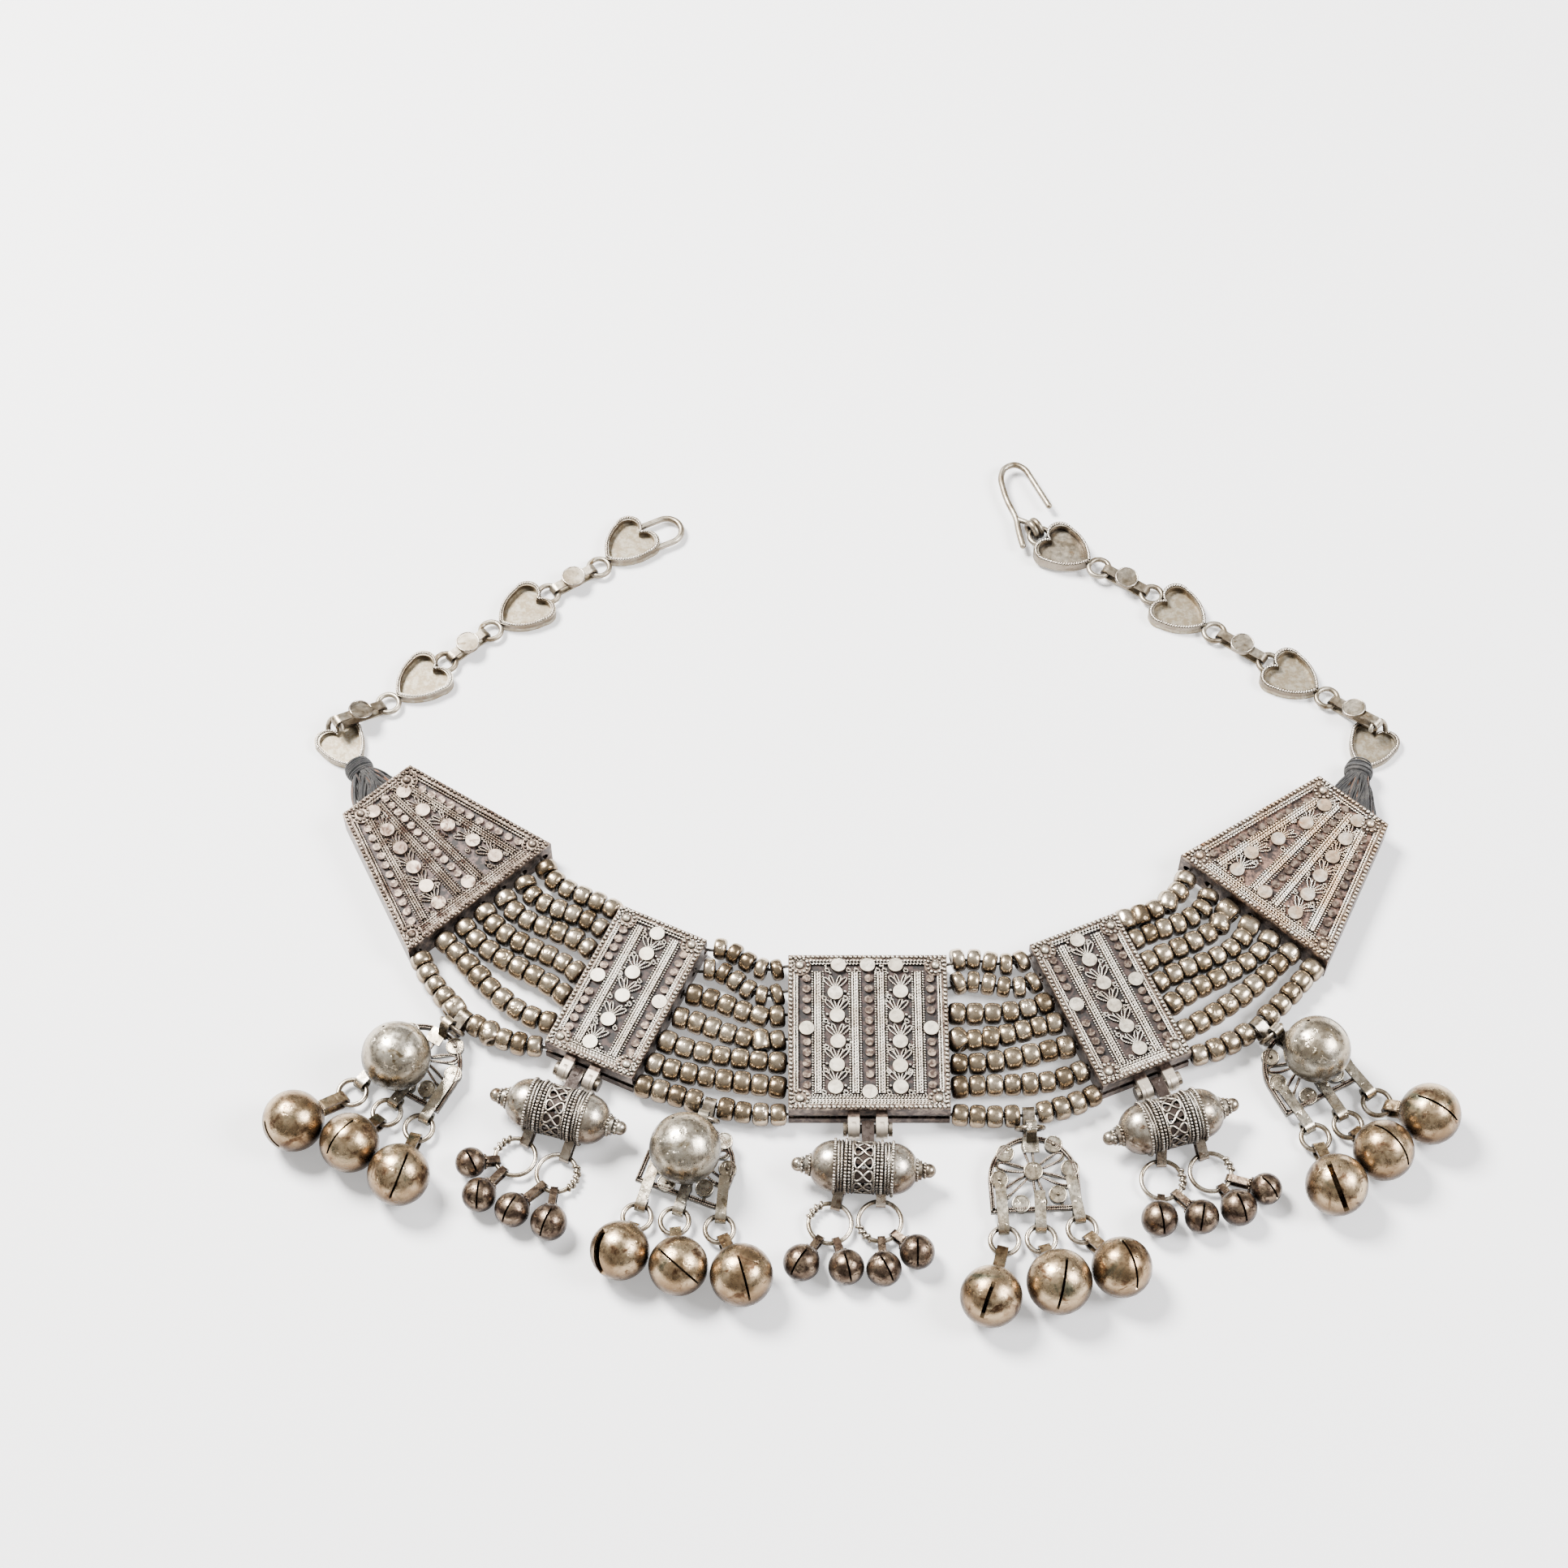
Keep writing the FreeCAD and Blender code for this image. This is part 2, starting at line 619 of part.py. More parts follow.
# Amulet cases: a hollow tube with domed ends, hinged under a plaque.
# Columns: case, plaque, middle x, y, turn, its two rings (ring x, y, loop x along
# the case), and mean radius of the rings.
AMULETS = [
    ("left", "mid_left", -52.85, -52.05, -16.3, ((-60.2, -59.2, -3.7), (-52.9, -62.3, 3.7)), 3.5),
    ("centre", "centre", 0.2, -62.7, -3.2, ((-5.6, -71.7, -3.9), (3.0, -71.3, 3.3)), 3.7),
    ("right", "mid_right", 53.8, -54.0, 16.4, ((52.0, -63.6, -3.0), (60.5, -62.1, 3.8)), 3.6),
]
# Small bells of each amulet: x, y, radius, which ring, and the slit's bearing
SMALL_BELLS = {
    "left": [(-67.8, -60.9, 2.7, 0, -60), (-66.0, -67.1, 3.0, 0, -95),
             (-60.2, -69.9, 3.05, 1, -120), (-53.8, -72.3, 3.2, 1, -115)],
    "centre": [(-10.5, -79.7, 3.2, 0, -125), (-2.9, -80.5, 3.1, 0, -75),
               (3.5, -80.8, 3.05, 1, -60), (9.2, -77.7, 3.05, 1, -90)],
    "right": [(50.9, -71.7, 3.2, 0, -80), (58.2, -71.2, 3.0, 0, -100),
              (64.6, -69.6, 3.2, 1, -70), (69.6, -65.9, 2.8, 1, -50)],
}


def polar(bearing, height):
    b = math.radians(bearing)
    h = math.radians(height)
    return Vec(math.cos(b) * math.cos(h), math.sin(b) * math.cos(h), math.sin(h))


def slit_cutter(centre, radius, start, stop, width):
    """A slot through a round shell along the great arc from start to stop."""
    reach = start.getAngle(stop) / 2.0
    middle = (start + stop).normalize()
    normal = start.cross(stop).normalize()
    solid = block(radius * math.cos(reach), radius + 2, -radius, radius,
                  -width / 2.0, width / 2.0)
    return set_in(solid, centre, middle, normal)


def bell(centre, radius, shell, ring_centre, ring_r, ring_z, slit, loop):
    """A hollow bell with its slit, and a strip loop round the ring's wire."""
    inner, thick, width = loop
    level = flat_unit(centre - ring_centre)
    wire = Vec(ring_centre.x, ring_centre.y, ring_z) + level * ring_r
    aim = (centre - wire)
    aim.normalize()
    seat = centre - aim * (radius + inner - 0.1)
    if (seat - wire).dot(aim) < 0.3:
        seat = wire + aim * 0.3
    start, stop, slot = slit
    pole = start.cross(stop).normalize()
    far = (start + stop).normalize() * -1
    pieces = [set_in(Part.makeSphere(radius), centre, far, pole),
              strap_link(wire, seat, inner, thick, width)]
    pieces.append(cylinder(inner + thick + 0.1, 0.6, centre - aim * (radius + 0.25), aim))
    whole = joined(pieces)
    whole = whole.cut(set_in(Part.makeSphere(radius - shell), centre, far, pole))
    return whole.cut(slit_cutter(centre, radius, start, stop, slot)).removeSplitter()


for name, host, cx, cy, turn, rings, ring_r in AMULETS:
    centre = Vec(cx, cy, TUBE_Z)
    axis = spot(0, 0, turn, 1, 0)
    reach = TUBE_LENGTH / 2.0
    pieces = [cylinder(TUBE_R, TUBE_LENGTH, centre - axis * reach, axis)]
    for place in (-5.0, -3.1, 3.1, 5.0):
        pieces.append(torus(TUBE_R, RIDGE_R, centre + axis * place, axis))
    for sign in (-1, 1):
        out = axis * sign
        pieces.append(ball(DOME_R, centre + out * reach, axis))
        pieces.append(rod(1.7, centre + axis * min(9.2 * sign, 10.1 * sign),
                          centre + axis * max(9.2 * sign, 10.1 * sign)))
        pieces.append(rod(1.25, centre + axis * min(9.9 * sign, 10.9 * sign),
                          centre + axis * max(9.9 * sign, 10.9 * sign)))
        pieces.append(ball(1.25, centre + out * 11.3, axis))
    # hinge knuckle and the arm that carries the tube
    hx = HINGE_X[host]
    px, py, plaque_turn = PLACES[host]
    axis_y = -PLAQUE_LENGTH / 2.0 - PIN_OFFSET
    hinge = spot(px, py, plaque_turn, hx, axis_y, PIN_Z)
    across = spot(0, 0, plaque_turn, 1, 0)
    half_knuckle = AMULET_KNUCKLE_WIDTH / 2.0
    third = AMULET_KNUCKLE_WIDTH / 3.0
    for i, radius in enumerate((AMULET_KNUCKLE_R - 0.12, AMULET_KNUCKLE_R,
                                AMULET_KNUCKLE_R - 0.12)):
        base = hinge - across * (half_knuckle - i * third)
        pieces.append(cylinder(radius, third, base, across))
    arm = block(-half_knuckle, half_knuckle, -4.6, 0, -0.2, AMULET_KNUCKLE_R - 0.12)
    pieces.append(placed(arm, hinge.x, hinge.y, plaque_turn, hinge.z))
    for ring_x, ring_y, loop_x in rings:
        ring_centre = Vec(ring_x, ring_y, SMALL_RING_Z)
        toward = spot(cx, cy, turn, loop_x, -4.0, SMALL_RING_Z) - ring_centre
        wire = ring_centre + flat_unit(toward) * ring_r
        seat = spot(cx, cy, turn, loop_x, -3.75, 3.2)
        pieces.append(strap_link(wire, seat, 0.65, 0.42, 1.7))
    case = joined(pieces)
    cavity = cylinder(TUBE_R - TUBE_WALL, TUBE_LENGTH, centre - axis * reach, axis)
    for sign in (-1, 1):
        cavity = cavity.fuse(ball(DOME_R - TUBE_WALL, centre + axis * (sign * reach), axis))
    case = case.cut(cavity)
    bore = cylinder(AMULET_BORE_R, 6, hinge - across * 3, across)
    openings = [bore]
    # two rows of figure of eight openings round the tube, eight in a row
    for row in (-0.85, 0.85):
        for i in range(8):
            around = 45.0 * i + 22.5 + turn * 0
            out = Vec(0, math.cos(math.radians(around)), math.sin(math.radians(around)))
            out = spot(0, 0, turn, 0, out.y, out.z)
            for lobe in (-0.42, 0.42):
                root = centre + axis * (row + lobe) + out * 2.8
                openings.append(cylinder(0.5, 3.0, root, out))
    case = case.cut(Part.makeCompound(openings))
    write("amulet_case_" + name, case)

    pin = cylinder(PIN_R, PIN_LENGTH, hinge - across * (PIN_LENGTH / 2.0), across)
    for sign in (-1, 1):
        pin = pin.fuse(cylinder(1.25, 0.7, hinge + across * (sign * 3.6), across * sign))
    write("hinge_pin_" + name, pin.removeSplitter())

    hoops = []
    for ring_x, ring_y, loop_x in rings:
        hoops.append(torus(ring_r, SMALL_RING_WIRE, Vec(ring_x, ring_y, SMALL_RING_Z)))
    write("amulet_rings_" + name, Part.makeCompound(hoops))

    bells = []
    for bx, by, radius, which, bearing in SMALL_BELLS[name]:
        ring_centre = Vec(rings[which][0], rings[which][1], 0)
        slit = (polar(bearing + 180, 55), polar(bearing, 12), 0.35)
        bells.append(bell(Vec(bx, by, radius), radius, 0.4, ring_centre, ring_r,
                          SMALL_RING_Z, slit, (0.6, 0.32, 1.3)))
    write("amulet_bells_" + name, Part.makeCompound(bells))


# Pendants on the lowest string. Columns: number, stretch, hub x, y, turn, ball
# (x, y, radius) or none, and the three bells: ring x, y, bell x, y, radius,
# slit from (bearing, height) to (bearing, height), slit width.
PENDANTS = [
    (1, "A", -77.4, -40.9, -30.0, (-81.2, -43.2, 6.1), (
        (-89.4, -46.9, -98.7, -54.2, 5.4, (-165, 30), (-110, 0), 0.7),
        (-83.1, -50.8, -88.7, -58.3, 5.2, (60, 60), (-136, 25), 0.35),
        (-77.3, -53.8, -79.8, -64.4, 5.4, (50, 55), (-102, 15), 0.4))),
    (2, "B", -29.3, -60.1, -21.0, (-30.5, -60.9, 6.2), (
        (-38.8, -70.6, -41.4, -78.3, 5.1, (135, 50), (-121, 0), 1.5),
        (-32.3, -71.4, -31.4, -81.1, 5.1, (152, 41), (-46, 10), 0.35),
        (-24.6, -72.9, -20.7, -82.9, 5.4, (112, 75), (-74, 12), 0.4))),
    (3, "C", 29.6, -62.6, 3.0, None, (
        (24.3, -75.0, 21.4, -86.7, 5.3, (68, 85), (-112, 20), 0.7),
        (30.6, -74.7, 33.0, -84.2, 5.6, (69, 60), (-97, 12), 0.45),
        (37.7, -72.9, 43.7, -81.4, 5.2, (96, 50), (-65, 15), 0.4))),
    (4, "D", 78.0, -41.7, 28.0, (79.7, -41.8, 5.9), (
        (79.2, -55.6, 81.4, -66.3, 5.4, (129, 55), (-77, 8), 0.9),
        (85.1, -53.2, 90.1, -59.8, 5.3, (124, 45), (-44, 15), 0.4),
        (90.6, -48.9, 98.8, -52.9, 5.4, (154, 53), (-32, 25), 0.4))),
]
PLATE_DISCS = [(-4.6, 3.5), (3.9, 4.8), (6.4, 0.2), (-6.0, -1.2), (-2.6, -5.8), (3.9, -4.4)]
# Petals of bent wire: bearing from the hub, and how far their round ends reach
PETALS = [(98, 4.9), (30, 5.4), (-22, 6.0), (166, 5.6), (216, 6.4), (280, 5.6)]
STRAP_ROOTS = [(-5.9, -2.2), (0.8, -3.6), (6.4, -1.2)]


def petal(bearing, reach):
    outer = 1.05
    inner = 0.6
    pieces = []
    for radius, top in ((outer, 0.4), (inner, 1.0)):
        spread = math.asin(radius / reach)
        tangent = reach * math.cos(spread)
        up = (tangent * math.cos(spread), tangent * math.sin(spread))
        down = (up[0], -up[1])
        wedge = prism([(0, 0), down, up], -top, top)
        disc = cylinder(radius, 2 * top, Vec(reach, 0, -top))
        pieces.append(wedge.fuse(disc))
    solid = pieces[0].cut(pieces[1])
    return placed(solid, 0, 0, bearing)


def arch_prism(radius, bottom, z0, z1):
    dome = cylinder(radius, z1 - z0, Vec(0, PLATE_CENTRE_Y, z0))
    keep = block(-radius, radius, PLATE_CENTRE_Y, PLATE_CENTRE_Y + radius + 1, z0, z1)
    dome = dome.common(keep)
    return dome.fuse(block(-radius, radius, bottom, PLATE_CENTRE_Y, z0, z1)).removeSplitter()


def flat_plate():
    """The arched open plate in its own plane, hub at the origin."""
    t = PLATE_THICK / 2.0
    frame = arch_prism(PLATE_R, PLATE_BOTTOM_Y, -t, t)
    frame = frame.cut(arch_prism(PLATE_R - PLATE_WIRE, PLATE_BOTTOM_Y + PLATE_WIRE, -1, 1))
    pieces = [frame, cylinder(PLATE_HUB_R, t + 0.75, Vec(0, 0, -t))]
    for x, y in PLATE_DISCS:
        pieces.append(cylinder(PLATE_DISC_R, t + 0.65, Vec(x, y, -t)))
    for bearing, reach in PETALS:
        pieces.append(petal(bearing, reach))
    pieces.append(placed(block(0, 2.2, -0.3, 0.3, -0.3, 0.3), 4.3, -5.0, -80))
    pieces.append(block(-1.4, 1.4, 3.4, 6.3, 0.35, 0.85))
    return joined(pieces)


FLAT_PLATE = flat_plate()

for number, stretch, hub_x, hub_y, turn, top_ball, bells in PENDANTS:
    thread = bail_points[stretch]
    hub = Vec(hub_x, hub_y, HUB_Z)
    span = Vec(hub.x - thread.x, hub.y - thread.y, 0)
    toward = flat_unit(span)
    print("pendant", number, "strap to hub", round(span.Length, 2))

    low_wire = Vec(thread.x, thread.y, BAIL_RING_Z) + toward * BAIL_STEP
    write("pendant_bail_%d" % number,
          strap_link(thread, low_wire, BAIL_R, BAIL_THICK, BAIL_WIDTH))

    tilt = math.radians(BAIL_RING_TILT)
    rise = toward * math.cos(tilt) + UP * math.sin(tilt)
    ring_middle = low_wire + rise * BAIL_RING_R
    ring_axis = UP * math.cos(tilt) - toward * math.sin(tilt)
    write("bail_ring_%d" % number, torus(BAIL_RING_R, WIRE_R, ring_middle, ring_axis))
    high_wire = low_wire + rise * (2 * BAIL_RING_R)

    plate = FLAT_PLATE.copy()
    plate.rotate(ZERO, Vec(1, 0, 0), PLATE_TILT)
    plate = placed(plate, hub.x, hub.y, turn, HUB_Z)
    pieces = [plate]

    def plate_top(px, py):
        return HUB_Z + py * math.sin(math.radians(PLATE_TILT)) + PLATE_THICK / 2.0

    crown = Vec(hub.x, hub.y, 0) - toward * 5.3
    crown.z = plate_top(0, 5.3) + 0.15
    pieces.append(eye_strap(high_wire, crown, 1.8, STRAP_EYE_R, STRAP_THICK))

    hoops = []
    for (rx, ry), row in zip(STRAP_ROOTS, bells):
        ring_centre = Vec(row[0], row[1], BELL_RING_Z)
        root = spot(hub.x, hub.y, turn, rx, ry, plate_top(rx, ry) + 0.08)
        eye = ring_centre + flat_unit(root - ring_centre) * BELL_RING_R
        pieces.append(eye_strap(eye, root, 1.9, STRAP_EYE_R, STRAP_THICK))
        hoops.append(torus(BELL_RING_R, WIRE_R, ring_centre))
    body = joined(pieces)
    if top_ball is not None:
        bx, by, radius = top_ball
        middle = Vec(bx, by, HUB_Z + 0.1 + radius)
        body = body.fuse(ball(radius, middle)).cut(ball(radius - BALL_SHELL, middle))
        vent = middle + polar(120, 50) * (radius - 1.5)
        body = body.cut(cylinder(0.3, 3, vent, polar(120, 50)))
        if number == 4:
            body = body.cut(slit_cutter(middle, radius, polar(80, 40), polar(10, 30), 0.5))
        body = body.removeSplitter()
    write("pendant_plate_%d" % number, body)
    write("bell_rings_%d" % number, Part.makeCompound(hoops))

    for index, row in enumerate(bells):
        radius = row[4]
        centre = Vec(row[2], row[3], radius)
        slit = (polar(*row[5]), polar(*row[6]), row[7])
        write("pendant_bell_%d_%d" % (number, index + 1),
              bell(centre, radius, BELL_SHELL, Vec(row[0], row[1], 0), BELL_RING_R,
                   BELL_RING_Z, slit, (0.85, 0.5, 2.0)))


# Chains: heart collets with a wire eye at notch and tip, and strip links with a
# flat disc between them.
def heart_wire(scale, z):
    """Outline of the heart, notch to +y, tip to -y."""
    w = HEART_WIDTH / 2.0 * scale
    top = HEART_LENGTH / 2.0 * scale
    tip = Vec(0, -top, z)
    notch = Vec(0, 0.62 * top, z)
    points = {}
    for sign in (-1, 1):
        points[sign] = (Vec(sign * 0.72 * w, -0.42 * top, z), Vec(sign * w, 0.26 * top, z),
                        Vec(sign * 0.72 * w, 0.88 * top, z))
    edges = [
        Part.Arc(tip, points[1][0], points[1][1]).toShape(),
        Part.Arc(points[1][1], points[1][2], notch).toShape(),
        Part.Arc(notch, points[-1][2], points[-1][1]).toShape(),
        Part.Arc(points[-1][1], points[-1][0], tip).toShape(),
    ]
    return Part.Wire(edges)


def heart(notch_eye, tip_eye, lift=0.0, size=1.0, notch_ring=EYE_R, tip_ring=EYE_R,
          lean=None):
    """A collet between two eyes: its pieces and the recess to cut from them.

    lean is the level way that a raised notch eye leans up towards."""
    heading = flat_unit(notch_eye - tip_eye)
    turn = math.degrees(math.atan2(heading.y, heading.x)) - 90
    length = HEART_LENGTH * size
    tip_point = tip_eye + heading * tip_ring
    middle = tip_point + heading * (length / 2.0)
    height = HEART_HEIGHT if lean is None else LAST_HEIGHT
    outer = Part.Face(heart_wire(size, 0)).extrude(Vec(0, 0, height))
    shrink = size - HEART_WALL / (HEART_WIDTH / 2.0)
    recess = Part.Face(heart_wire(shrink, HEART_FLOOR)).extrude(Vec(0, 0, 3))
    outer = placed(outer, middle.x, middle.y, turn, lift)
    recess = placed(recess, middle.x, middle.y, turn, lift)
    pieces = [outer]
    level = CHAIN_Z + lift
    if lean is not None:
        angle = math.radians(LEAN_ANGLE)
        axis = UP * math.cos(angle) - lean * math.sin(angle)
        pieces.append(torus(notch_ring, EYE_WIRE,
                            Vec(notch_eye.x, notch_eye.y, LEAN_Z), axis))
    elif notch_ring:
        pieces.append(torus(notch_ring, EYE_WIRE, Vec(notch_eye.x, notch_eye.y, level)))
    if tip_ring:
        pieces.append(torus(tip_ring, EYE_WIRE, Vec(tip_eye.x, tip_eye.y, level)))
    return pieces, recess


def disc_link(eye_a, eye_b, twist=0.0, leaning=False):
    """A strip link from the far wire of one eye to the far wire of the next."""
    level = flat_unit(eye_b - eye_a)
    reach = EYE_R - LINK_SEAT
    start = eye_a + level * reach
    end = eye_b - level * reach
    if leaning:
        angle = math.radians(LEAN_ANGLE)
        end = eye_b - level * (reach * math.cos(angle))
        end.z = LEAN_Z + reach * math.sin(angle)
    solid = strap_link(start, end, LINK_R, LINK_THICK, LINK_WIDTH)
    middle = (start + end) * 0.5
    along = (end - start).normalize()
    side = UP.cross(level)
    normal = along.cross(side)
    disc = cylinder(LINK_DISC_R, 0.7, ZERO)
    disc.rotate(ZERO, Vec(1, 0, 0), twist)
    disc = set_in(disc, middle + normal * (LINK_R + LINK_THICK - 0.25), along, normal)
    hole_keep = cylinder(LINK_R, 12, middle - side * 6, side)
    return solid.fuse(disc.cut(hole_keep)).removeSplitter()


def eye_at(x, y, lift=0.0):
    return Vec(x, y, CHAIN_Z + lift)


# Left chain, from the clasp down to the end plaque
L1_TIP = eye_at(-49.4, 66.0)
L2_NOTCH = eye_at(-59.0, 59.7)
L2_TIP = eye_at(-69.7, 51.2)
L3_NOTCH = eye_at(-78.0, 43.9)
L3_TIP = eye_at(-88.3, 34.6)
L4_NOTCH = eye_at(-97.8, 28.2)
L4_TIP = Vec(-92.9, 19.6, CHAIN_Z)
L1_MIDDLE = Vec(-44.3, 71.2, 0)


def heart_node(notch_eye, tip_eye, lift=0.0, size=1.0, tip_ring=EYE_R, lean=None):
    pieces, recess = heart(notch_eye, tip_eye, lift, size, EYE_R, tip_ring, lean)
    return joined(pieces).cut(recess)


chain_left = [
    heart_node(L2_NOTCH, L2_TIP),
    heart_node(L3_NOTCH, L3_TIP),
    heart_node(L4_NOTCH, L4_TIP, size=LAST_SIZE, tip_ring=TIP_RING,
               lean=flat_unit(L3_TIP - L4_NOTCH)),
    disc_link(L1_TIP, L2_NOTCH),
    disc_link(L2_TIP, L3_NOTCH),
    disc_link(L3_TIP, L4_NOTCH, twist=14.0, leaning=True),
]
write("chain_left", Part.makeCompound(chain_left))


def half_ring(radius, wire, centre, start):
    arc = Part.makeTorus(radius, wire, ZERO, UP, -180, 180, 180)
    return placed(arc, centre.x, centre.y, start, centre.z)


# the eye of the clasp: a long loop soldered in the notch of the first heart
loop_turn = 25.7
loop_out = spot(0, 0, loop_turn, 1, 0)
loop_side = spot(0, 0, loop_turn, 0, 1)
far = eye_at(-36.5, 74.7)
near = far - loop_out * CLASP_EYE_STRAIGHT
l1_notch = L1_TIP + flat_unit(L1_MIDDLE - L1_TIP) * (HEART_LENGTH + EYE_R)
pieces, recess = heart(l1_notch, L1_TIP, notch_ring=0)
pieces.append(half_ring(CLASP_EYE_R, HOOK_WIRE, far, loop_turn - 90))
pieces.append(half_ring(CLASP_EYE_R, HOOK_WIRE, near, loop_turn + 90))
for sign in (-1, 1):
    offset = loop_side * (sign * CLASP_EYE_R)
    pieces.append(rod(HOOK_WIRE, near + offset, far + offset))
write("clasp_eye", joined(pieces).cut(recess))

# Right chain
R1_NOTCH = eye_at(36.4, 72.8, HOOK_LIFT)
R1_TIP = eye_at(47.6, 65.3, HOOK_LIFT)
R2_NOTCH = eye_at(57.5, 59.5)
R2_TIP = eye_at(69.0, 50.8)
R3_NOTCH = eye_at(78.9, 43.7)
R3_TIP = eye_at(89.3, 35.9)
R4_NOTCH = eye_at(98.0, 27.7)
R4_TIP = Vec(93.6, 19.2, CHAIN_Z)
chain_right = [
    heart_node(R1_NOTCH, R1_TIP, lift=HOOK_LIFT),
    heart_node(R2_NOTCH, R2_TIP),
    heart_node(R3_NOTCH, R3_TIP),
    heart_node(R4_NOTCH, R4_TIP, size=LAST_SIZE, tip_ring=TIP_RING,
               lean=flat_unit(R3_TIP - R4_NOTCH)),
    disc_link(R1_TIP, R2_NOTCH),
    disc_link(R2_TIP, R3_NOTCH),
    disc_link(R3_TIP, R4_NOTCH, leaning=True),
]
write("chain_right", Part.makeCompound(chain_right))

# the hook: one bent wire, coiled twice round the eye of the first heart
HOOK_POINTS = [(38.5, 80.2), (36.1, 85.2), (34.2, 89.2), (32.2, 90.4), (29.9, 89.4),
               (29.2, 86.8), (30.2, 81.6), (32.0, 77.3), (32.3, 74.0), (33.0, 70.6)]
COIL_R = 1.6
COIL_Z = 2.2
hook_line = [Vec(x, y, COIL_Z - 0.2) for x, y in HOOK_POINTS]
hook = [tube(route(hook_line), HOOK_WIRE)]
for end in (hook_line[0], hook_line[-1]):
    hook.append(ball(HOOK_WIRE + 0.02, end))
coil_way = flat_unit(Vec(34.6 - R1_NOTCH.x, 75.6 - R1_NOTCH.y, 0))
coil_axis = UP.cross(coil_way)
coil_middle = Vec(R1_NOTCH.x, R1_NOTCH.y, COIL_Z) + coil_way * (EYE_R - 0.1)
for sign in (-1, 1):
    hook.append(torus(COIL_R, HOOK_WIRE, coil_middle + coil_axis * (sign * 0.55), coil_axis))
bridge = coil_middle + coil_way * COIL_R
hook.append(rod(HOOK_WIRE - 0.05, bridge, Vec(32.05, 77.0, COIL_Z - 0.2)))
write("clasp_hook", joined(hook))


# Knots of black thread, wound through the last eye of each chain and seated on
# the narrow side of the end plaque: a fan of thick strands from the plaque that
# gathers at the heart's tip.
KNOT_SPREAD = (-3.1, -1.6, 0.0, 1.6, 3.1)
KNOT_FOOT_R = 1.75
KNOT_HEAD_R = 1.3


def knot(plaque_name, eye):
    px, py, turn = PLACES[plaque_name]
    half = PLAQUE_LENGTH / 2.0
    head = Vec(eye.x, eye.y, 2.3)
    centre_foot = spot(px, py, turn, 0, half, 2.6)
    out = flat_unit(head - centre_foot)
    side = UP.cross(out)
    strands = [ball(2.45, head - out * 0.6 + UP * 0.15)]
    for i, place in enumerate(KNOT_SPREAD):
        foot = spot(px, py, turn, place, half - 1.0, 2.55 + 0.15 * (i % 2))
        gather = head + side * (0.35 * place) + UP * (0.1 * (i % 2))
        reach = gather - foot
        strands.append(Part.makeCone(KNOT_FOOT_R + 0.07 * i, KNOT_HEAD_R + 0.05 * i,
                                     reach.Length, foot, reach))
    body = joined(strands)
    behind = block(-20, 20, -30, half + 0.12, -5, 12)
    body = body.cut(placed(behind, px, py, turn))
    body = body.cut(block(-150, 150, -150, 150, -5, 0.05))
    hole = rod(TAIL_R + 0.12, spot(px, py, turn, 0, 10, STRING_Z),
               spot(px, py, turn, 0, half + TAIL_LENGTH + 0.12, STRING_Z))
    return body.cut(hole)


def knot_clear(notch_eye, tip_eye, size):
    heading = flat_unit(notch_eye - tip_eye)
    turn = math.degrees(math.atan2(heading.y, heading.x)) - 90
    tip_point = tip_eye + heading * TIP_RING
    middle = tip_point + heading * (HEART_LENGTH * size / 2.0)
    outer = Part.Face(heart_wire(size + 0.03, -1)).extrude(Vec(0, 0, HEART_HEIGHT + 1.12))
    outer = placed(outer, middle.x, middle.y, turn, 0)
    ring = torus(TIP_RING, EYE_WIRE + 0.12, Vec(tip_eye.x, tip_eye.y, CHAIN_Z))
    return outer.fuse(ring)


for name, plaque_name, notch_eye, tip_eye in (
        ("knot_left", "end_left", L4_NOTCH, L4_TIP),
        ("knot_right", "end_right", R4_NOTCH, R4_TIP)):
    body = knot(plaque_name, tip_eye).cut(knot_clear(notch_eye, tip_eye, LAST_SIZE))
    write(name, body)
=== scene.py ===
# %% [markdown]
# A folk choker of worn silver, lying open on a white table.
#
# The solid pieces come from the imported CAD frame: cases, beads, bells, plates, hearts.
# This lesson gives them their metal and dresses them with what a silversmith solders
# on at the end: beaded wire, twisted wire, granules and filigree loops. Those parts
# repeat along lines, so Geometry Nodes makes them from lines that the script lays out.

# %% Load the frame
import json
import math
import random

import bmesh
import bpy
import numpy as np
from mathutils import Matrix, Vector


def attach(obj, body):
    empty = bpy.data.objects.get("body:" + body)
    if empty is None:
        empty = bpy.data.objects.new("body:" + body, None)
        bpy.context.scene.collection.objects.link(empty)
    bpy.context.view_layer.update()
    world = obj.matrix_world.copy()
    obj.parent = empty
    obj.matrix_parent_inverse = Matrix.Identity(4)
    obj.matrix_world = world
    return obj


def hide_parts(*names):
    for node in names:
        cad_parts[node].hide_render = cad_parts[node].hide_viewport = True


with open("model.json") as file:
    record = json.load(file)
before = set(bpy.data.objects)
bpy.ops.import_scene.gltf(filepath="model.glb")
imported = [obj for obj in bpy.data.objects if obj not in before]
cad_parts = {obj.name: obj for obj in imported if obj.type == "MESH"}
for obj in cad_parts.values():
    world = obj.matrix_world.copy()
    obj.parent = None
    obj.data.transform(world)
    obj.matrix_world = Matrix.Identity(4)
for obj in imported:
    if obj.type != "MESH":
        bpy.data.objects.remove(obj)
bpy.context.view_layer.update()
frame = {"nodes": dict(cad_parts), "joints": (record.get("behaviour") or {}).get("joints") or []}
nodes = frame["nodes"]
MM = 0.001
UP = Vector((0, 0, 1))

# %% [markdown]
# The camera stands where the photographer stood: straight in front of the necklace,
# looking down at it by almost sixty degrees, from about sixty centimetres. A long lens
# keeps the far chain nearly as large as the near bells. It is set first, so that every
# later choice can be judged from it.

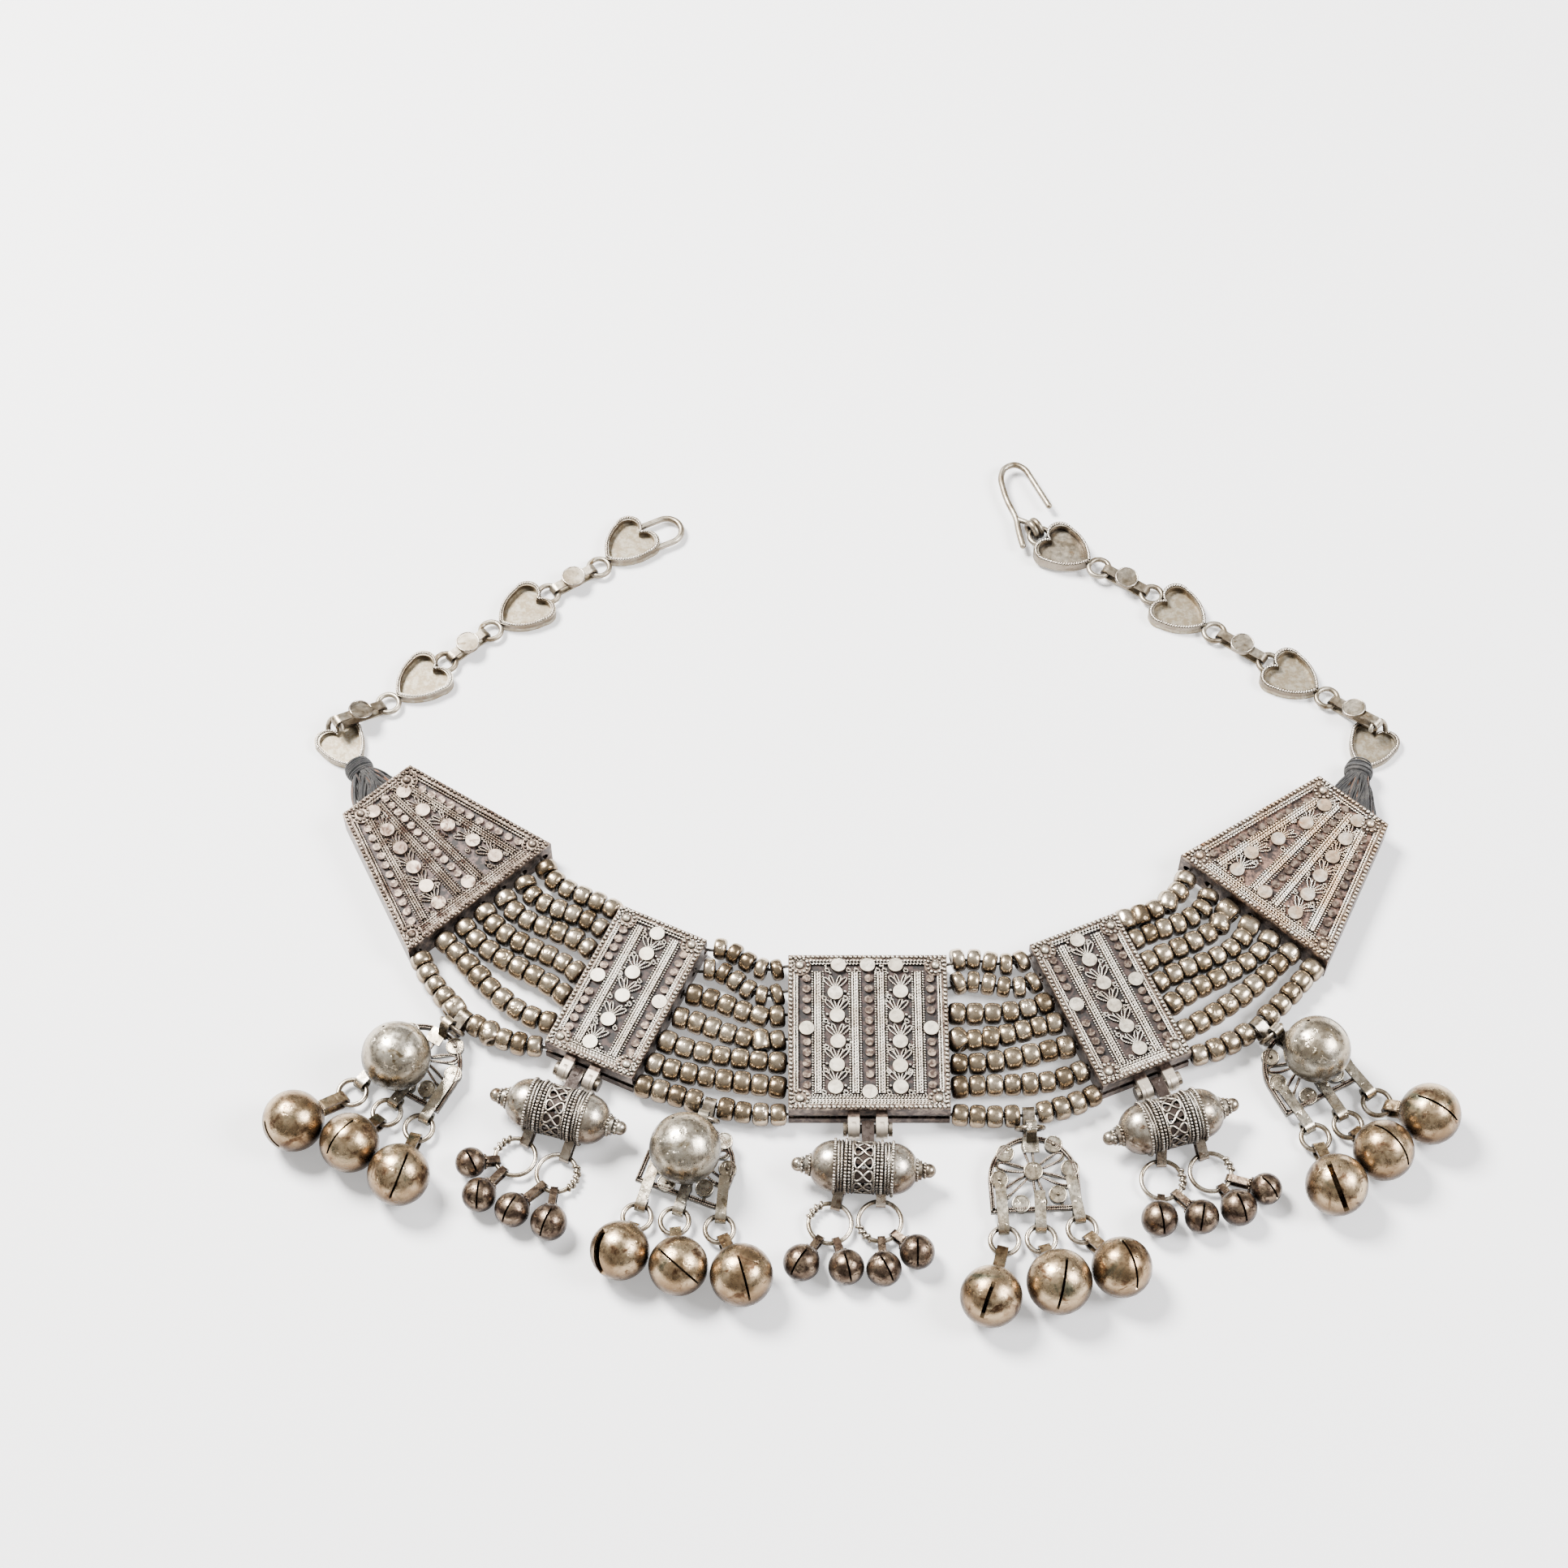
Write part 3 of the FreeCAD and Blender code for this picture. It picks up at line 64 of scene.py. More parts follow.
# %% Camera
AIM = Vector((-13.5, 17.5, 0.0)) * MM
CAMERA_HEIGHT_ANGLE = math.radians(58.7)
CAMERA_DISTANCE = 0.6
FOCAL_LENGTH = 73.8
lens = bpy.data.cameras.new("camera")
lens.lens = FOCAL_LENGTH
lens.sensor_width = 36.0
lens.clip_start = 0.01
camera = bpy.data.objects.new("camera", lens)
bpy.context.scene.collection.objects.link(camera)
back = Vector((0, -math.cos(CAMERA_HEIGHT_ANGLE), math.sin(CAMERA_HEIGHT_ANGLE)))
camera.location = AIM + back * CAMERA_DISTANCE
camera.rotation_euler = (-back).to_track_quat("-Z", "Y").to_euler()
bpy.context.scene.camera = camera
print("camera at", [round(c, 3) for c in camera.location])

# %% [markdown]
# A shader is a small graph. Each helper below adds one node and returns its output, so
# that a finish reads as a list of layers: clouds of tone, stains, dirt in the crevices.
# Everything reads Object coordinates, which stay with the metal when a piece moves.

# %% Helpers for materials
def new_finish(name):
    """A material, its tree and its shader."""
    finish = bpy.data.materials.new(name)
    finish.use_nodes = True
    return finish, finish.node_tree, finish.node_tree.nodes["Principled BSDF"]


def coordinates(tree, kind="Object"):
    return tree.nodes.new("ShaderNodeTexCoord").outputs[kind]


def fill(tree, socket, value):
    """Gives a socket a colour or a number, or links it where the value is a socket too."""
    if isinstance(value, tuple):
        socket.default_value = (*value, 1.0)
    elif isinstance(value, float):
        socket.default_value = value
    else:
        tree.links.new(value, socket)


def cloud(tree, place, size, detail=5.0, rough=0.6, warp=0.0):
    """Noise whose lumps are about size millimetres across."""
    node = tree.nodes.new("ShaderNodeTexNoise")
    node.inputs["Scale"].default_value = 1.0 / (size * MM)
    node.inputs["Detail"].default_value = detail
    node.inputs["Roughness"].default_value = rough
    node.inputs["Distortion"].default_value = warp
    tree.links.new(place, node.inputs["Vector"])
    return node.outputs["Fac"]


def between(tree, value, low, high, to_low=0.0, to_high=1.0):
    node = tree.nodes.new("ShaderNodeMapRange")
    node.interpolation_type = "SMOOTHSTEP"
    node.inputs["From Min"].default_value = low
    node.inputs["From Max"].default_value = high
    node.inputs["To Min"].default_value = to_low
    node.inputs["To Max"].default_value = to_high
    tree.links.new(value, node.inputs["Value"])
    return node.outputs["Result"]


def one_axis(tree, vector, axis):
    node = tree.nodes.new("ShaderNodeSeparateXYZ")
    tree.links.new(vector, node.inputs[0])
    return node.outputs[axis]


def blend_colour(tree, amount, first, second):
    node = tree.nodes.new("ShaderNodeMix")
    node.data_type = "RGBA"
    for index, value in ((0, amount), (6, first), (7, second)):
        fill(tree, node.inputs[index], value)
    return node.outputs[2]


def blend_number(tree, amount, first, second):
    node = tree.nodes.new("ShaderNodeMix")
    for index, value in ((0, amount), (2, first), (3, second)):
        fill(tree, node.inputs[index], value)
    return node.outputs[0]


def times(tree, first, second):
    node = tree.nodes.new("ShaderNodeMath")
    node.operation = "MULTIPLY"
    tree.links.new(first, node.inputs[0])
    tree.links.new(second, node.inputs[1])
    return node.outputs[0]


def bump(tree, height, strength, depth, before=None, sunk=False):
    """Relief up to depth millimetres, on top of the relief that came before."""
    node = tree.nodes.new("ShaderNodeBump")
    node.invert = sunk
    node.inputs["Strength"].default_value = strength
    node.inputs["Distance"].default_value = depth * MM
    tree.links.new(height, node.inputs["Height"])
    if before is not None:
        tree.links.new(before, node.inputs["Normal"])
    return node.outputs["Normal"]


def show_outside(tree, mask, name, value):
    """Where the mask is nought, the shader's socket of that name takes the value instead."""
    socket = tree.nodes["Principled BSDF"].inputs[name]
    blend = blend_colour if name == "Base Color" else blend_number
    tree.links.new(blend(tree, mask, value, socket.links[0].from_socket), socket)


# %% [markdown]
# Old silver is never one colour. Where fingers and cloth rub it, it is pale and bright.
# Away from them it turns champagne, then brown, and dirt settles black wherever two
# pieces meet. The Ambient Occlusion node finds those places from the shape itself and
# darkens them: partly that dirt, partly painted shade. Steep sides get painted shade too.
# A Gamma node ages all the colours together.

# %% Worn silver
AGEING = 1.75
CREVICE_SAMPLES = 6
STEEP_TO_LEVEL = (0.05, 0.75)
GRAIN_SIZE = 0.35
GRAIN_DEPTH = 0.08
DENT_DEPTH = 0.5
PIT_SIZE = 1.3
PIT_DEPTH = 0.25


def worn_silver(name, bright, dull, stain, dirt_and_shade, patch, stained, crevice, shine,
                dirt_and_shade_reach=0.85, metal=0.95, grain=0.12, dents=0.0, dent_size=4.0, pits=0.0,
                own_tone=False, bloom=None, flank=(0.5, (0.16, 0.12, 0.09))):
    """A metal finish. patch is the size of its clouds in mm, stained the share of stain.

    crevice is how far in mm the crevice darkening reaches, partly dirt and partly painted
    shade; flank how dark the painted shade on steep sides goes and in which colour, shine
    the least and most roughness, and bloom the colour of a thin film.
    """
    finish, tree, shader = new_finish(name)
    place = coordinates(tree)
    tone = between(tree, cloud(tree, place, patch, 6.0, 0.62, 0.4), 0.38, 0.62)
    colour = blend_colour(tree, tone, dull, bright)
    spots = cloud(tree, place, patch * 0.45, 8.0, 0.68, 0.8)
    spread = between(tree, spots, 0.72 - 0.36 * stained, 0.84 - 0.3 * stained)
    colour = blend_colour(tree, spread, colour, stain)
    if bloom:
        film = between(tree, cloud(tree, place, patch * 1.3, 5.0, 0.6, 1.2), 0.56, 0.7)
        colour = blend_colour(tree, film, colour, bloom)
    if own_tone:
        tag = tree.nodes.new("ShaderNodeAttribute")
        tag.attribute_name = "tone"
        colour = blend_colour(tree, tag.outputs["Fac"], colour, stain)
    # painted shade: faces that point up keep their colour, the steep flanks of every wire and
    # ball are painted darker
    upright = one_axis(tree, coordinates(tree, "Normal"), "Z")
    unshaded_tops = between(tree, upright, *STEEP_TO_LEVEL, 1.0 - flank[0], 1.0)
    colour = blend_colour(tree, unshaded_tops, flank[1], colour)
    # dirt and painted shade: where the occlusion finds a crevice, the colour goes to the dark
    # crevice colour
    hidden = tree.nodes.new("ShaderNodeAmbientOcclusion")
    hidden.samples = CREVICE_SAMPLES
    hidden.inputs["Distance"].default_value = crevice * MM
    open_share = between(tree, hidden.outputs["AO"], 0.25, dirt_and_shade_reach)
    colour = blend_colour(tree, open_share, dirt_and_shade, colour)
    aged = tree.nodes.new("ShaderNodeGamma")
    aged.inputs["Gamma"].default_value = AGEING
    tree.links.new(colour, aged.inputs["Color"])
    tree.links.new(aged.outputs[0], shader.inputs["Base Color"])
    tree.links.new(between(tree, open_share, 0.0, 0.8, 0.35, metal), shader.inputs["Metallic"])
    rough = between(tree, cloud(tree, place, 0.9, 6.0, 0.7), 0.3, 0.7, *shine)
    dulled = between(tree, spread, 0.0, 1.0, 1.0, 1.35)
    tree.links.new(times(tree, rough, dulled), shader.inputs["Roughness"])
    relief = bump(tree, cloud(tree, place, GRAIN_SIZE, 5.0, 0.75), grain, GRAIN_DEPTH)
    if dents:
        soft = cloud(tree, place, dent_size, 2.0, 0.45)
        relief = bump(tree, soft, dents, DENT_DEPTH, relief)
    if pits:
        deep = between(tree, cloud(tree, place, PIT_SIZE, 3.0, 0.5), 0.62, 0.72)
        relief = bump(tree, deep, pits, PIT_DEPTH, relief, sunk=True)
    tree.links.new(relief, shader.inputs["Normal"])
    return finish


def over_height(finish, edge, colours, rough=0.6, metal=0.25):
    """Gives what lies under a height its own ground: the sunk floor behind filigree."""
    tree = finish.node_tree
    place = coordinates(tree)
    raised = between(tree, one_axis(tree, place, "Z"), edge[0] * MM, edge[1] * MM)
    specks = between(tree, cloud(tree, place, 1.1, 6.0, 0.7), 0.42, 0.62)
    ground, speck = colours
    show_outside(tree, raised, "Base Color", blend_colour(tree, specks, speck, ground))
    show_outside(tree, raised, "Roughness", rough)
    show_outside(tree, raised, "Metallic", metal)


bead_silver = worn_silver("bead_silver", (0.82, 0.75, 0.65), (0.66, 0.58, 0.47),
                          (0.38, 0.31, 0.23), (0.045, 0.033, 0.025), patch=3.2,
                          stained=0.25, crevice=1.6, shine=(0.16, 0.34), dents=0.3,
                          dent_size=3.0, pits=0.35, own_tone=True,
                          flank=(0.75, (0.21, 0.155, 0.105)))
print("first finish", bead_silver.name)

# %% [markdown]
# The plaques share one recipe, with small changes. The floor between the wires is not
# bright: it is the pinkish brown of old solder and polish, broken by black. Because the
# floor lies lower than everything soldered on it, its height is enough to find it. The
# left end plaque is darker than the rest, and the right one has a rusty tint.

# %% Plaque finishes
UNDER_RIM = (5.62, 5.7)
UNDER_FRONT = (5.02, 5.14)
UNDER_FLOOR = (4.86, 4.95)
# painted shade for the plaque's relief below the rim's height
LOW_RELIEF_SHADE = ((0.34, 0.26, 0.20), (0.06, 0.04, 0.032))
PINK_GROUND = ((0.05, 0.028, 0.023), (0.005, 0.0035, 0.003))
WALL = ((0.16, 0.115, 0.09), (0.045, 0.03, 0.024))
KNUCKLE_EDGE = (2.1, 2.4)
KNUCKLE_TONE = (0.66, 0.58, 0.48)


def vector_step(tree, operation, first, second=None):
    node = tree.nodes.new("ShaderNodeVectorMath")
    node.operation = operation
    tree.links.new(first, node.inputs[0])
    if second is not None:
        node.inputs[1].default_value = second
    return node.outputs["Value" if operation == "LENGTH" else "Vector"]


def plaque_finish(name, bright, dull, stain, ground=PINK_GROUND, stained=0.3):
    finish = worn_silver(name, bright, dull, stain, (0.03, 0.022, 0.018), patch=5.0,
                         stained=stained, crevice=1.1, dirt_and_shade_reach=0.92, shine=(0.3, 0.55),
                         metal=0.8, grain=0.2, flank=(0.9, (0.05, 0.038, 0.032)))
    # painted shade: the relief lower than the rim, above the sunk floor, goes brown with
    # near-black specks
    over_height(finish, UNDER_RIM, LOW_RELIEF_SHADE, rough=0.45, metal=0.8)
    over_height(finish, UNDER_FRONT, ground)
    over_height(finish, UNDER_FLOOR, WALL, rough=0.38, metal=0.85)
    # the hinge knuckles lie low as well, but are bare metal: near an axis they stay pale
    tree = finish.node_tree
    place = coordinates(tree)
    for joint in frame["joints"]:
        away = vector_step(tree, "SUBTRACT", place, joint["pos_m"])
        square = vector_step(tree, "CROSS_PRODUCT", away, joint["axis"])
        off_axis = between(tree, vector_step(tree, "LENGTH", square), KNUCKLE_EDGE[0] * MM,
                           KNUCKLE_EDGE[1] * MM)
        show_outside(tree, off_axis, "Base Color", KNUCKLE_TONE)
    return finish


plaque_silver = plaque_finish("plaque_silver", (0.84, 0.80, 0.72), (0.72, 0.67, 0.59),
                              (0.52, 0.44, 0.36))
plaque_dark = plaque_finish("plaque_dark", (0.64, 0.57, 0.50), (0.36, 0.30, 0.26),
                            (0.24, 0.18, 0.15), ((0.12, 0.075, 0.065), (0.012, 0.009, 0.008)),
                            0.6)
plaque_rusty = plaque_finish("plaque_rusty", (0.86, 0.81, 0.74), (0.72, 0.60, 0.48),
                             (0.56, 0.35, 0.21), ((0.22, 0.125, 0.09), (0.02, 0.012, 0.010)),
                             0.45)
ALL_WIRES = dict(crevice=1.0, dirt_and_shade_reach=0.95, grain=0.08, flank=(0.92, (0.045, 0.034, 0.028)))
wire_bright = worn_silver("wire_bright", (0.86, 0.82, 0.76), (0.70, 0.64, 0.57),
                          (0.44, 0.37, 0.30), (0.025, 0.018, 0.015), patch=4.0, stained=0.25,
                          shine=(0.22, 0.42), **ALL_WIRES)
wire_dark = worn_silver("wire_dark", (0.70, 0.63, 0.56), (0.38, 0.32, 0.27),
                        (0.20, 0.145, 0.12), (0.02, 0.015, 0.013), patch=5.0, stained=0.6,
                        shine=(0.25, 0.5), **ALL_WIRES)
wire_rusty = worn_silver("wire_rusty", (0.90, 0.86, 0.80), (0.76, 0.62, 0.48),
                         (0.55, 0.32, 0.18), (0.025, 0.018, 0.014), patch=6.0, stained=0.4,
                         shine=(0.22, 0.45), **ALL_WIRES)
print("plaque finishes made")

# %% [markdown]
# The bells and balls are thin hammered sheet. The three large balls on the plates
# are the palest, with soft dents. The twelve large bells have gone a warm brassy brown with
# a breath of green, and the little bells under the amulet cases are nearly chocolate.

# %% Bell, plate, loop and chain finishes
bell_silver = worn_silver("bell_silver", (0.74, 0.63, 0.48), (0.48, 0.38, 0.27),
                          (0.22, 0.15, 0.10), (0.02, 0.015, 0.012), patch=7.0, stained=0.6,
                          crevice=0.9, shine=(0.2, 0.38), grain=0.2, dents=0.35, dent_size=4.5,
                          pits=0.25, bloom=(0.33, 0.32, 0.25),
                          flank=(0.8, (0.15, 0.10, 0.06)))
small_bell_silver = worn_silver("small_bell_silver", (0.50, 0.42, 0.34), (0.25, 0.20, 0.165),
                                (0.12, 0.085, 0.07), (0.015, 0.011, 0.01), patch=2.6,
                                stained=0.6, crevice=0.7, shine=(0.22, 0.42), grain=0.2,
                                dents=0.3, dent_size=2.0, pits=0.3,
                                flank=(0.7, (0.06, 0.042, 0.035)))
plate_silver = worn_silver("plate_silver", (0.80, 0.76, 0.68), (0.62, 0.56, 0.47),
                           (0.30, 0.25, 0.17), (0.03, 0.026, 0.02), patch=6.5, stained=0.45,
                           crevice=1.2, shine=(0.18, 0.38), grain=0.2, dents=0.7,
                           dent_size=4.2, pits=0.45, flank=(0.85, (0.085, 0.07, 0.045)))
over_height(plate_silver, (0.9, 2.2), ((0.16, 0.14, 0.09), (0.05, 0.042, 0.026)), rough=0.45,
            metal=0.8)
loop_silver = worn_silver("loop_silver", (0.70, 0.65, 0.58), (0.44, 0.39, 0.32),
                          (0.24, 0.20, 0.155), (0.025, 0.02, 0.016), patch=3.0, stained=0.45,
                          crevice=0.9, shine=(0.2, 0.4), grain=0.15,
                          flank=(0.8, (0.12, 0.09, 0.06)))
chain_silver = worn_silver("chain_silver", (0.66, 0.62, 0.55), (0.42, 0.37, 0.30),
                           (0.25, 0.19, 0.12), (0.035, 0.026, 0.018), patch=5.0, stained=0.45,
                           crevice=1.8, dirt_and_shade_reach=0.8, shine=(0.3, 0.5), grain=0.25)
over_height(chain_silver, (0.75, 1.15), ((0.38, 0.34, 0.265), (0.25, 0.20, 0.13)), rough=0.5,
            metal=0.75)
print("bell, plate, loop and chain finishes made")
# %% [markdown]
# Each amulet case has a dark band round its middle, behind the lace of wire. The band
# is found along the case's own length, so a Mapping node turns the pattern to lie with
# the case: one finish for each of the three.

# %% Amulet case finishes
CASES = {
    "left": (-52.85, -52.05, -16.3),
    "centre": (0.2, -62.7, -3.2),
    "right": (53.8, -54.0, 16.4),
}
BAND_EDGE = (1.62, 1.78)
CASE_METAL = dict(bright=(0.80, 0.76, 0.69), dull=(0.56, 0.50, 0.43), stain=(0.30, 0.23, 0.175),
                  dirt_and_shade=(0.025, 0.019, 0.015), patch=4.5, stained=0.5, crevice=0.9,
                  shine=(0.2, 0.38), grain=0.18)


def case_finish(name, place):
    finish = worn_silver(name, **CASE_METAL, dents=0.3, dent_size=3.5, pits=0.3,
                         flank=(0.85, (0.15, 0.105, 0.075)))
    tree = finish.node_tree
    turned = tree.nodes.new("ShaderNodeMapping")
    turned.vector_type = "TEXTURE"
    turned.inputs["Location"].default_value = (place[0] * MM, place[1] * MM, 0)
    turned.inputs["Rotation"].default_value = (0, 0, math.radians(place[2]))
    tree.links.new(coordinates(tree), turned.inputs["Vector"])
    side = tree.nodes.new("ShaderNodeMath")
    side.operation = "ABSOLUTE"
    tree.links.new(one_axis(tree, turned.outputs[0], "X"), side.inputs[0])
    outside = between(tree, side.outputs[0], BAND_EDGE[0] * MM, BAND_EDGE[1] * MM)
    show_outside(tree, outside, "Base Color", (0.05, 0.036, 0.03))
    show_outside(tree, outside, "Metallic", 0.5)
    return finish


case_finishes = {side: case_finish("case_" + side, place) for side, place in CASES.items()}
case_silver = worn_silver("case_silver", **CASE_METAL)
print("case finishes", sorted(case_finishes))
# %% [markdown]
# Thread and wax are the only soft things here. They hardly shine at all, and the stray
# fibres on them catch light at the edges, which a little sheen stands for.

# %% Thread finishes
def thread_finish(name, dark, light, size):
    finish, tree, shader = new_finish(name)
    place = coordinates(tree)
    tone = between(tree, cloud(tree, place, size, 7.0, 0.7), 0.4, 0.7)
    tree.links.new(blend_colour(tree, tone, dark, light), shader.inputs["Base Color"])
    shader.inputs["Roughness"].default_value = 0.72
    shader.inputs["Sheen Weight"].default_value = 0.25
    tree.links.new(bump(tree, cloud(tree, place, 0.5, 6.0, 0.7), 0.6, 0.2),
                   shader.inputs["Normal"])
    return finish


black_thread = thread_finish("black_thread", (0.006, 0.006, 0.007), (0.05, 0.045, 0.04), 2.0)
waxed_thread = thread_finish("waxed_thread", (0.02, 0.012, 0.01), (0.22, 0.09, 0.04), 1.6)
string_thread = thread_finish("string_thread", (0.03, 0.025, 0.022), (0.12, 0.10, 0.08), 1.0)
print("thread finishes made")

# %% [markdown]
# Each solid piece of the frame now gets the finish that its name begins with. The list
# is read from the top, so a name that needs a finish of its own comes before its family.

# %% Put the finishes on the solid pieces
FINISHES = [
    ("end_plaque_left", plaque_dark), ("end_plaque_right", plaque_rusty),
    ("mid_plaque", plaque_silver), ("centre_plaque", plaque_silver),
    ("amulet_case_left", case_finishes["left"]),
    ("amulet_case_centre", case_finishes["centre"]),
    ("amulet_case_right", case_finishes["right"]),
    ("hinge_pin", loop_silver), ("bead_string", bead_silver),
    ("stringing_threads", string_thread), ("pendant_plate", plate_silver),
    ("pendant_bail", loop_silver), ("bail_ring", loop_silver), ("bell_rings", loop_silver),
    ("amulet_rings", loop_silver), ("pendant_bell", bell_silver),
    ("amulet_bells", small_bell_silver), ("chain_", chain_silver), ("clasp_", chain_silver),
    ("knot_", black_thread),
]
for name, piece in nodes.items():
    finish = next(f for start, f in FINISHES if name.startswith(start))
    piece.data.materials.clear()
    piece.data.materials.append(finish)
print("finished", len(nodes), "solid pieces")

# %% [markdown]
# Geometry Nodes now. A silversmith buys or makes three trimmings by the metre: beaded
# wire, twisted wire and plain wire, and drops single granules where they please. Each
# is a tree with named inputs. It takes a mesh that holds nothing but lines, and turns
# them into metal. The lines are the drawing; the tree is the craft.

# %% A tree to fill in
def new_tree(name, inputs):
    tree = bpy.data.node_groups.new(name, "GeometryNodeTree")
    tree.is_modifier = True
    side = tree.interface
    side.new_socket("Geometry", in_out="INPUT", socket_type="NodeSocketGeometry")
    side.new_socket("Geometry", in_out="OUTPUT", socket_type="NodeSocketGeometry")
    for label, kind in inputs:
        side.new_socket(label, in_out="INPUT", socket_type="NodeSocket" + kind)
    start = tree.nodes.new("NodeGroupInput")
    end = tree.nodes.new("NodeGroupOutput")
    return tree, start, end


def close_tree(tree, start, end, geometry):
    """Every tree ends alike: real meshes, smooth, in the finish that was asked for."""
    real = tree.nodes.new("GeometryNodeRealizeInstances")
    paint = tree.nodes.new("GeometryNodeSetMaterial")
    tree.links.new(geometry, real.inputs[0])
    tree.links.new(real.outputs[0], paint.inputs["Geometry"])
    tree.links.new(start.outputs["Finish"], paint.inputs["Material"])
    tree.links.new(paint.outputs[0], end.inputs[0])


# %% [markdown]
# Beaded wire is a row of touching balls. The tree resamples the line to points a set
# distance apart and puts a small sphere on each. Eight segments are enough for a ball
# under a millimetre, because thousands of them are needed. Each gets a slightly
# different size, from a fixed seed, as rolled beads have.

# %% The beaded wire tree
BALL_SEGMENTS = 8
BALL_RINGS = 5
SMALLEST_BALL = 0.86
LARGEST_BALL = 1.1
BALL_SEED = 7


def granule_part(tree, start, points):
    sphere = tree.nodes.new("GeometryNodeMeshUVSphere")
    sphere.inputs["Segments"].default_value = BALL_SEGMENTS
    sphere.inputs["Rings"].default_value = BALL_RINGS
    smooth = tree.nodes.new("GeometryNodeSetShadeSmooth")
    sizes = tree.nodes.new("FunctionNodeRandomValue")
    sizes.data_type = "FLOAT"
    sizes.inputs[2].default_value = SMALLEST_BALL
    sizes.inputs[3].default_value = LARGEST_BALL
    sizes.inputs["Seed"].default_value = BALL_SEED
    place = tree.nodes.new("GeometryNodeInstanceOnPoints")
    tree.links.new(start.outputs["Radius"], sphere.inputs["Radius"])
    tree.links.new(sphere.outputs["Mesh"], smooth.inputs["Geometry"])
    tree.links.new(points, place.inputs["Points"])
    tree.links.new(smooth.outputs[0], place.inputs["Instance"])
    tree.links.new(sizes.outputs[1], place.inputs["Scale"])
    return place.outputs["Instances"]


beaded_tree, start, end = new_tree("beaded wire", [
    ("Radius", "Float"), ("Pitch", "Float"), ("Finish", "Material")])
lines = beaded_tree.nodes.new("GeometryNodeMeshToCurve")
marks = beaded_tree.nodes.new("GeometryNodeCurveToPoints")
marks.mode = "LENGTH"
beaded_tree.links.new(start.outputs["Geometry"], lines.inputs["Mesh"])
beaded_tree.links.new(lines.outputs["Curve"], marks.inputs["Curve"])
beaded_tree.links.new(start.outputs["Pitch"], marks.inputs["Length"])
close_tree(beaded_tree, start, end,
           granule_part(beaded_tree, start, marks.outputs["Points"]))

granule_tree, start, end = new_tree("single granules", [
    ("Radius", "Float"), ("Finish", "Material")])
spots = granule_tree.nodes.new("GeometryNodeMeshToPoints")
granule_tree.links.new(start.outputs["Geometry"], spots.inputs["Mesh"])
close_tree(granule_tree, start, end,
           granule_part(granule_tree, start, spots.outputs["Points"]))
print("trees", beaded_tree.name, granule_tree.name)

# %% [markdown]
# Twisted wire is two strands wound round each other. Two real helices would cost many
# faces, so the tree sweeps one flat oval along the line and turns it steadily with Set
# Curve Tilt. The turning oval has the same two ridges, and reads as rope. With a round
# section and no turning, the same tree makes plain wire.

# %% The twisted wire tree
twisted_tree, start, end = new_tree("twisted wire", [
    ("Radius", "Float"), ("Flatness", "Float"), ("Step", "Float"), ("Turns", "Float"),
    ("Finish", "Material")])
tree = twisted_tree
lines = tree.nodes.new("GeometryNodeMeshToCurve")
even = tree.nodes.new("GeometryNodeResampleCurve")
even.mode = "LENGTH"
along = tree.nodes.new("GeometryNodeSplineParameter")
turning = tree.nodes.new("ShaderNodeMath")
turning.operation = "MULTIPLY"
tilt = tree.nodes.new("GeometryNodeSetCurveTilt")
section = tree.nodes.new("GeometryNodeCurvePrimitiveCircle")
section.mode = "RADIUS"
section.inputs["Resolution"].default_value = 6
squeeze = tree.nodes.new("GeometryNodeTransform")
scale = tree.nodes.new("ShaderNodeCombineXYZ")
scale.inputs[0].default_value = 1.0
scale.inputs[2].default_value = 1.0
sweep = tree.nodes.new("GeometryNodeCurveToMesh")
sweep.inputs["Fill Caps"].default_value = True
smooth = tree.nodes.new("GeometryNodeSetShadeSmooth")
tree.links.new(start.outputs["Geometry"], lines.inputs["Mesh"])
tree.links.new(lines.outputs["Curve"], even.inputs["Curve"])
tree.links.new(start.outputs["Step"], even.inputs["Length"])
tree.links.new(along.outputs["Length"], turning.inputs[0])
tree.links.new(start.outputs["Turns"], turning.inputs[1])
tree.links.new(even.outputs["Curve"], tilt.inputs["Curve"])
tree.links.new(turning.outputs[0], tilt.inputs["Tilt"])
tree.links.new(start.outputs["Radius"], section.inputs["Radius"])
tree.links.new(section.outputs["Curve"], squeeze.inputs["Geometry"])
tree.links.new(start.outputs["Flatness"], scale.inputs[1])
tree.links.new(scale.outputs[0], squeeze.inputs["Scale"])
tree.links.new(tilt.outputs["Curve"], sweep.inputs["Curve"])
tree.links.new(squeeze.outputs[0], sweep.inputs["Profile Curve"])
tree.links.new(sweep.outputs["Mesh"], smooth.inputs["Geometry"])
close_tree(tree, start, end, smooth.outputs[0])


# %% [markdown]
# To use a tree, its lines are written into a mesh, the modifier's inputs are set by
# their identifiers, and the evaluated result is copied to a plain mesh. The modifier
# is then removed, so the finished piece holds only its own faces and rides on one body.

# %% Grow a piece from lines
made = {"pieces": 0, "triangles": 0}


def through_tree(name, drawing, tree, values):
    """Puts a drawing through a tree and keeps only the plain mesh that comes out."""
    piece = bpy.data.objects.new(name, drawing)
    bpy.context.scene.collection.objects.link(piece)
    modifier = piece.modifiers.new("grow", "NODES")
    modifier.node_group = tree
    for item in tree.interface.items_tree:
        if item.item_type == "SOCKET" and item.in_out == "INPUT" and item.name in values:
            modifier[item.identifier] = values[item.name]
    ready = bpy.context.evaluated_depsgraph_get()
    solid = bpy.data.meshes.new_from_object(piece.evaluated_get(ready))
    piece.modifiers.remove(modifier)
    piece.data = solid
    solid.calc_loop_triangles()
    made["pieces"] += 1
    made["triangles"] += len(solid.loop_triangles)
    return piece


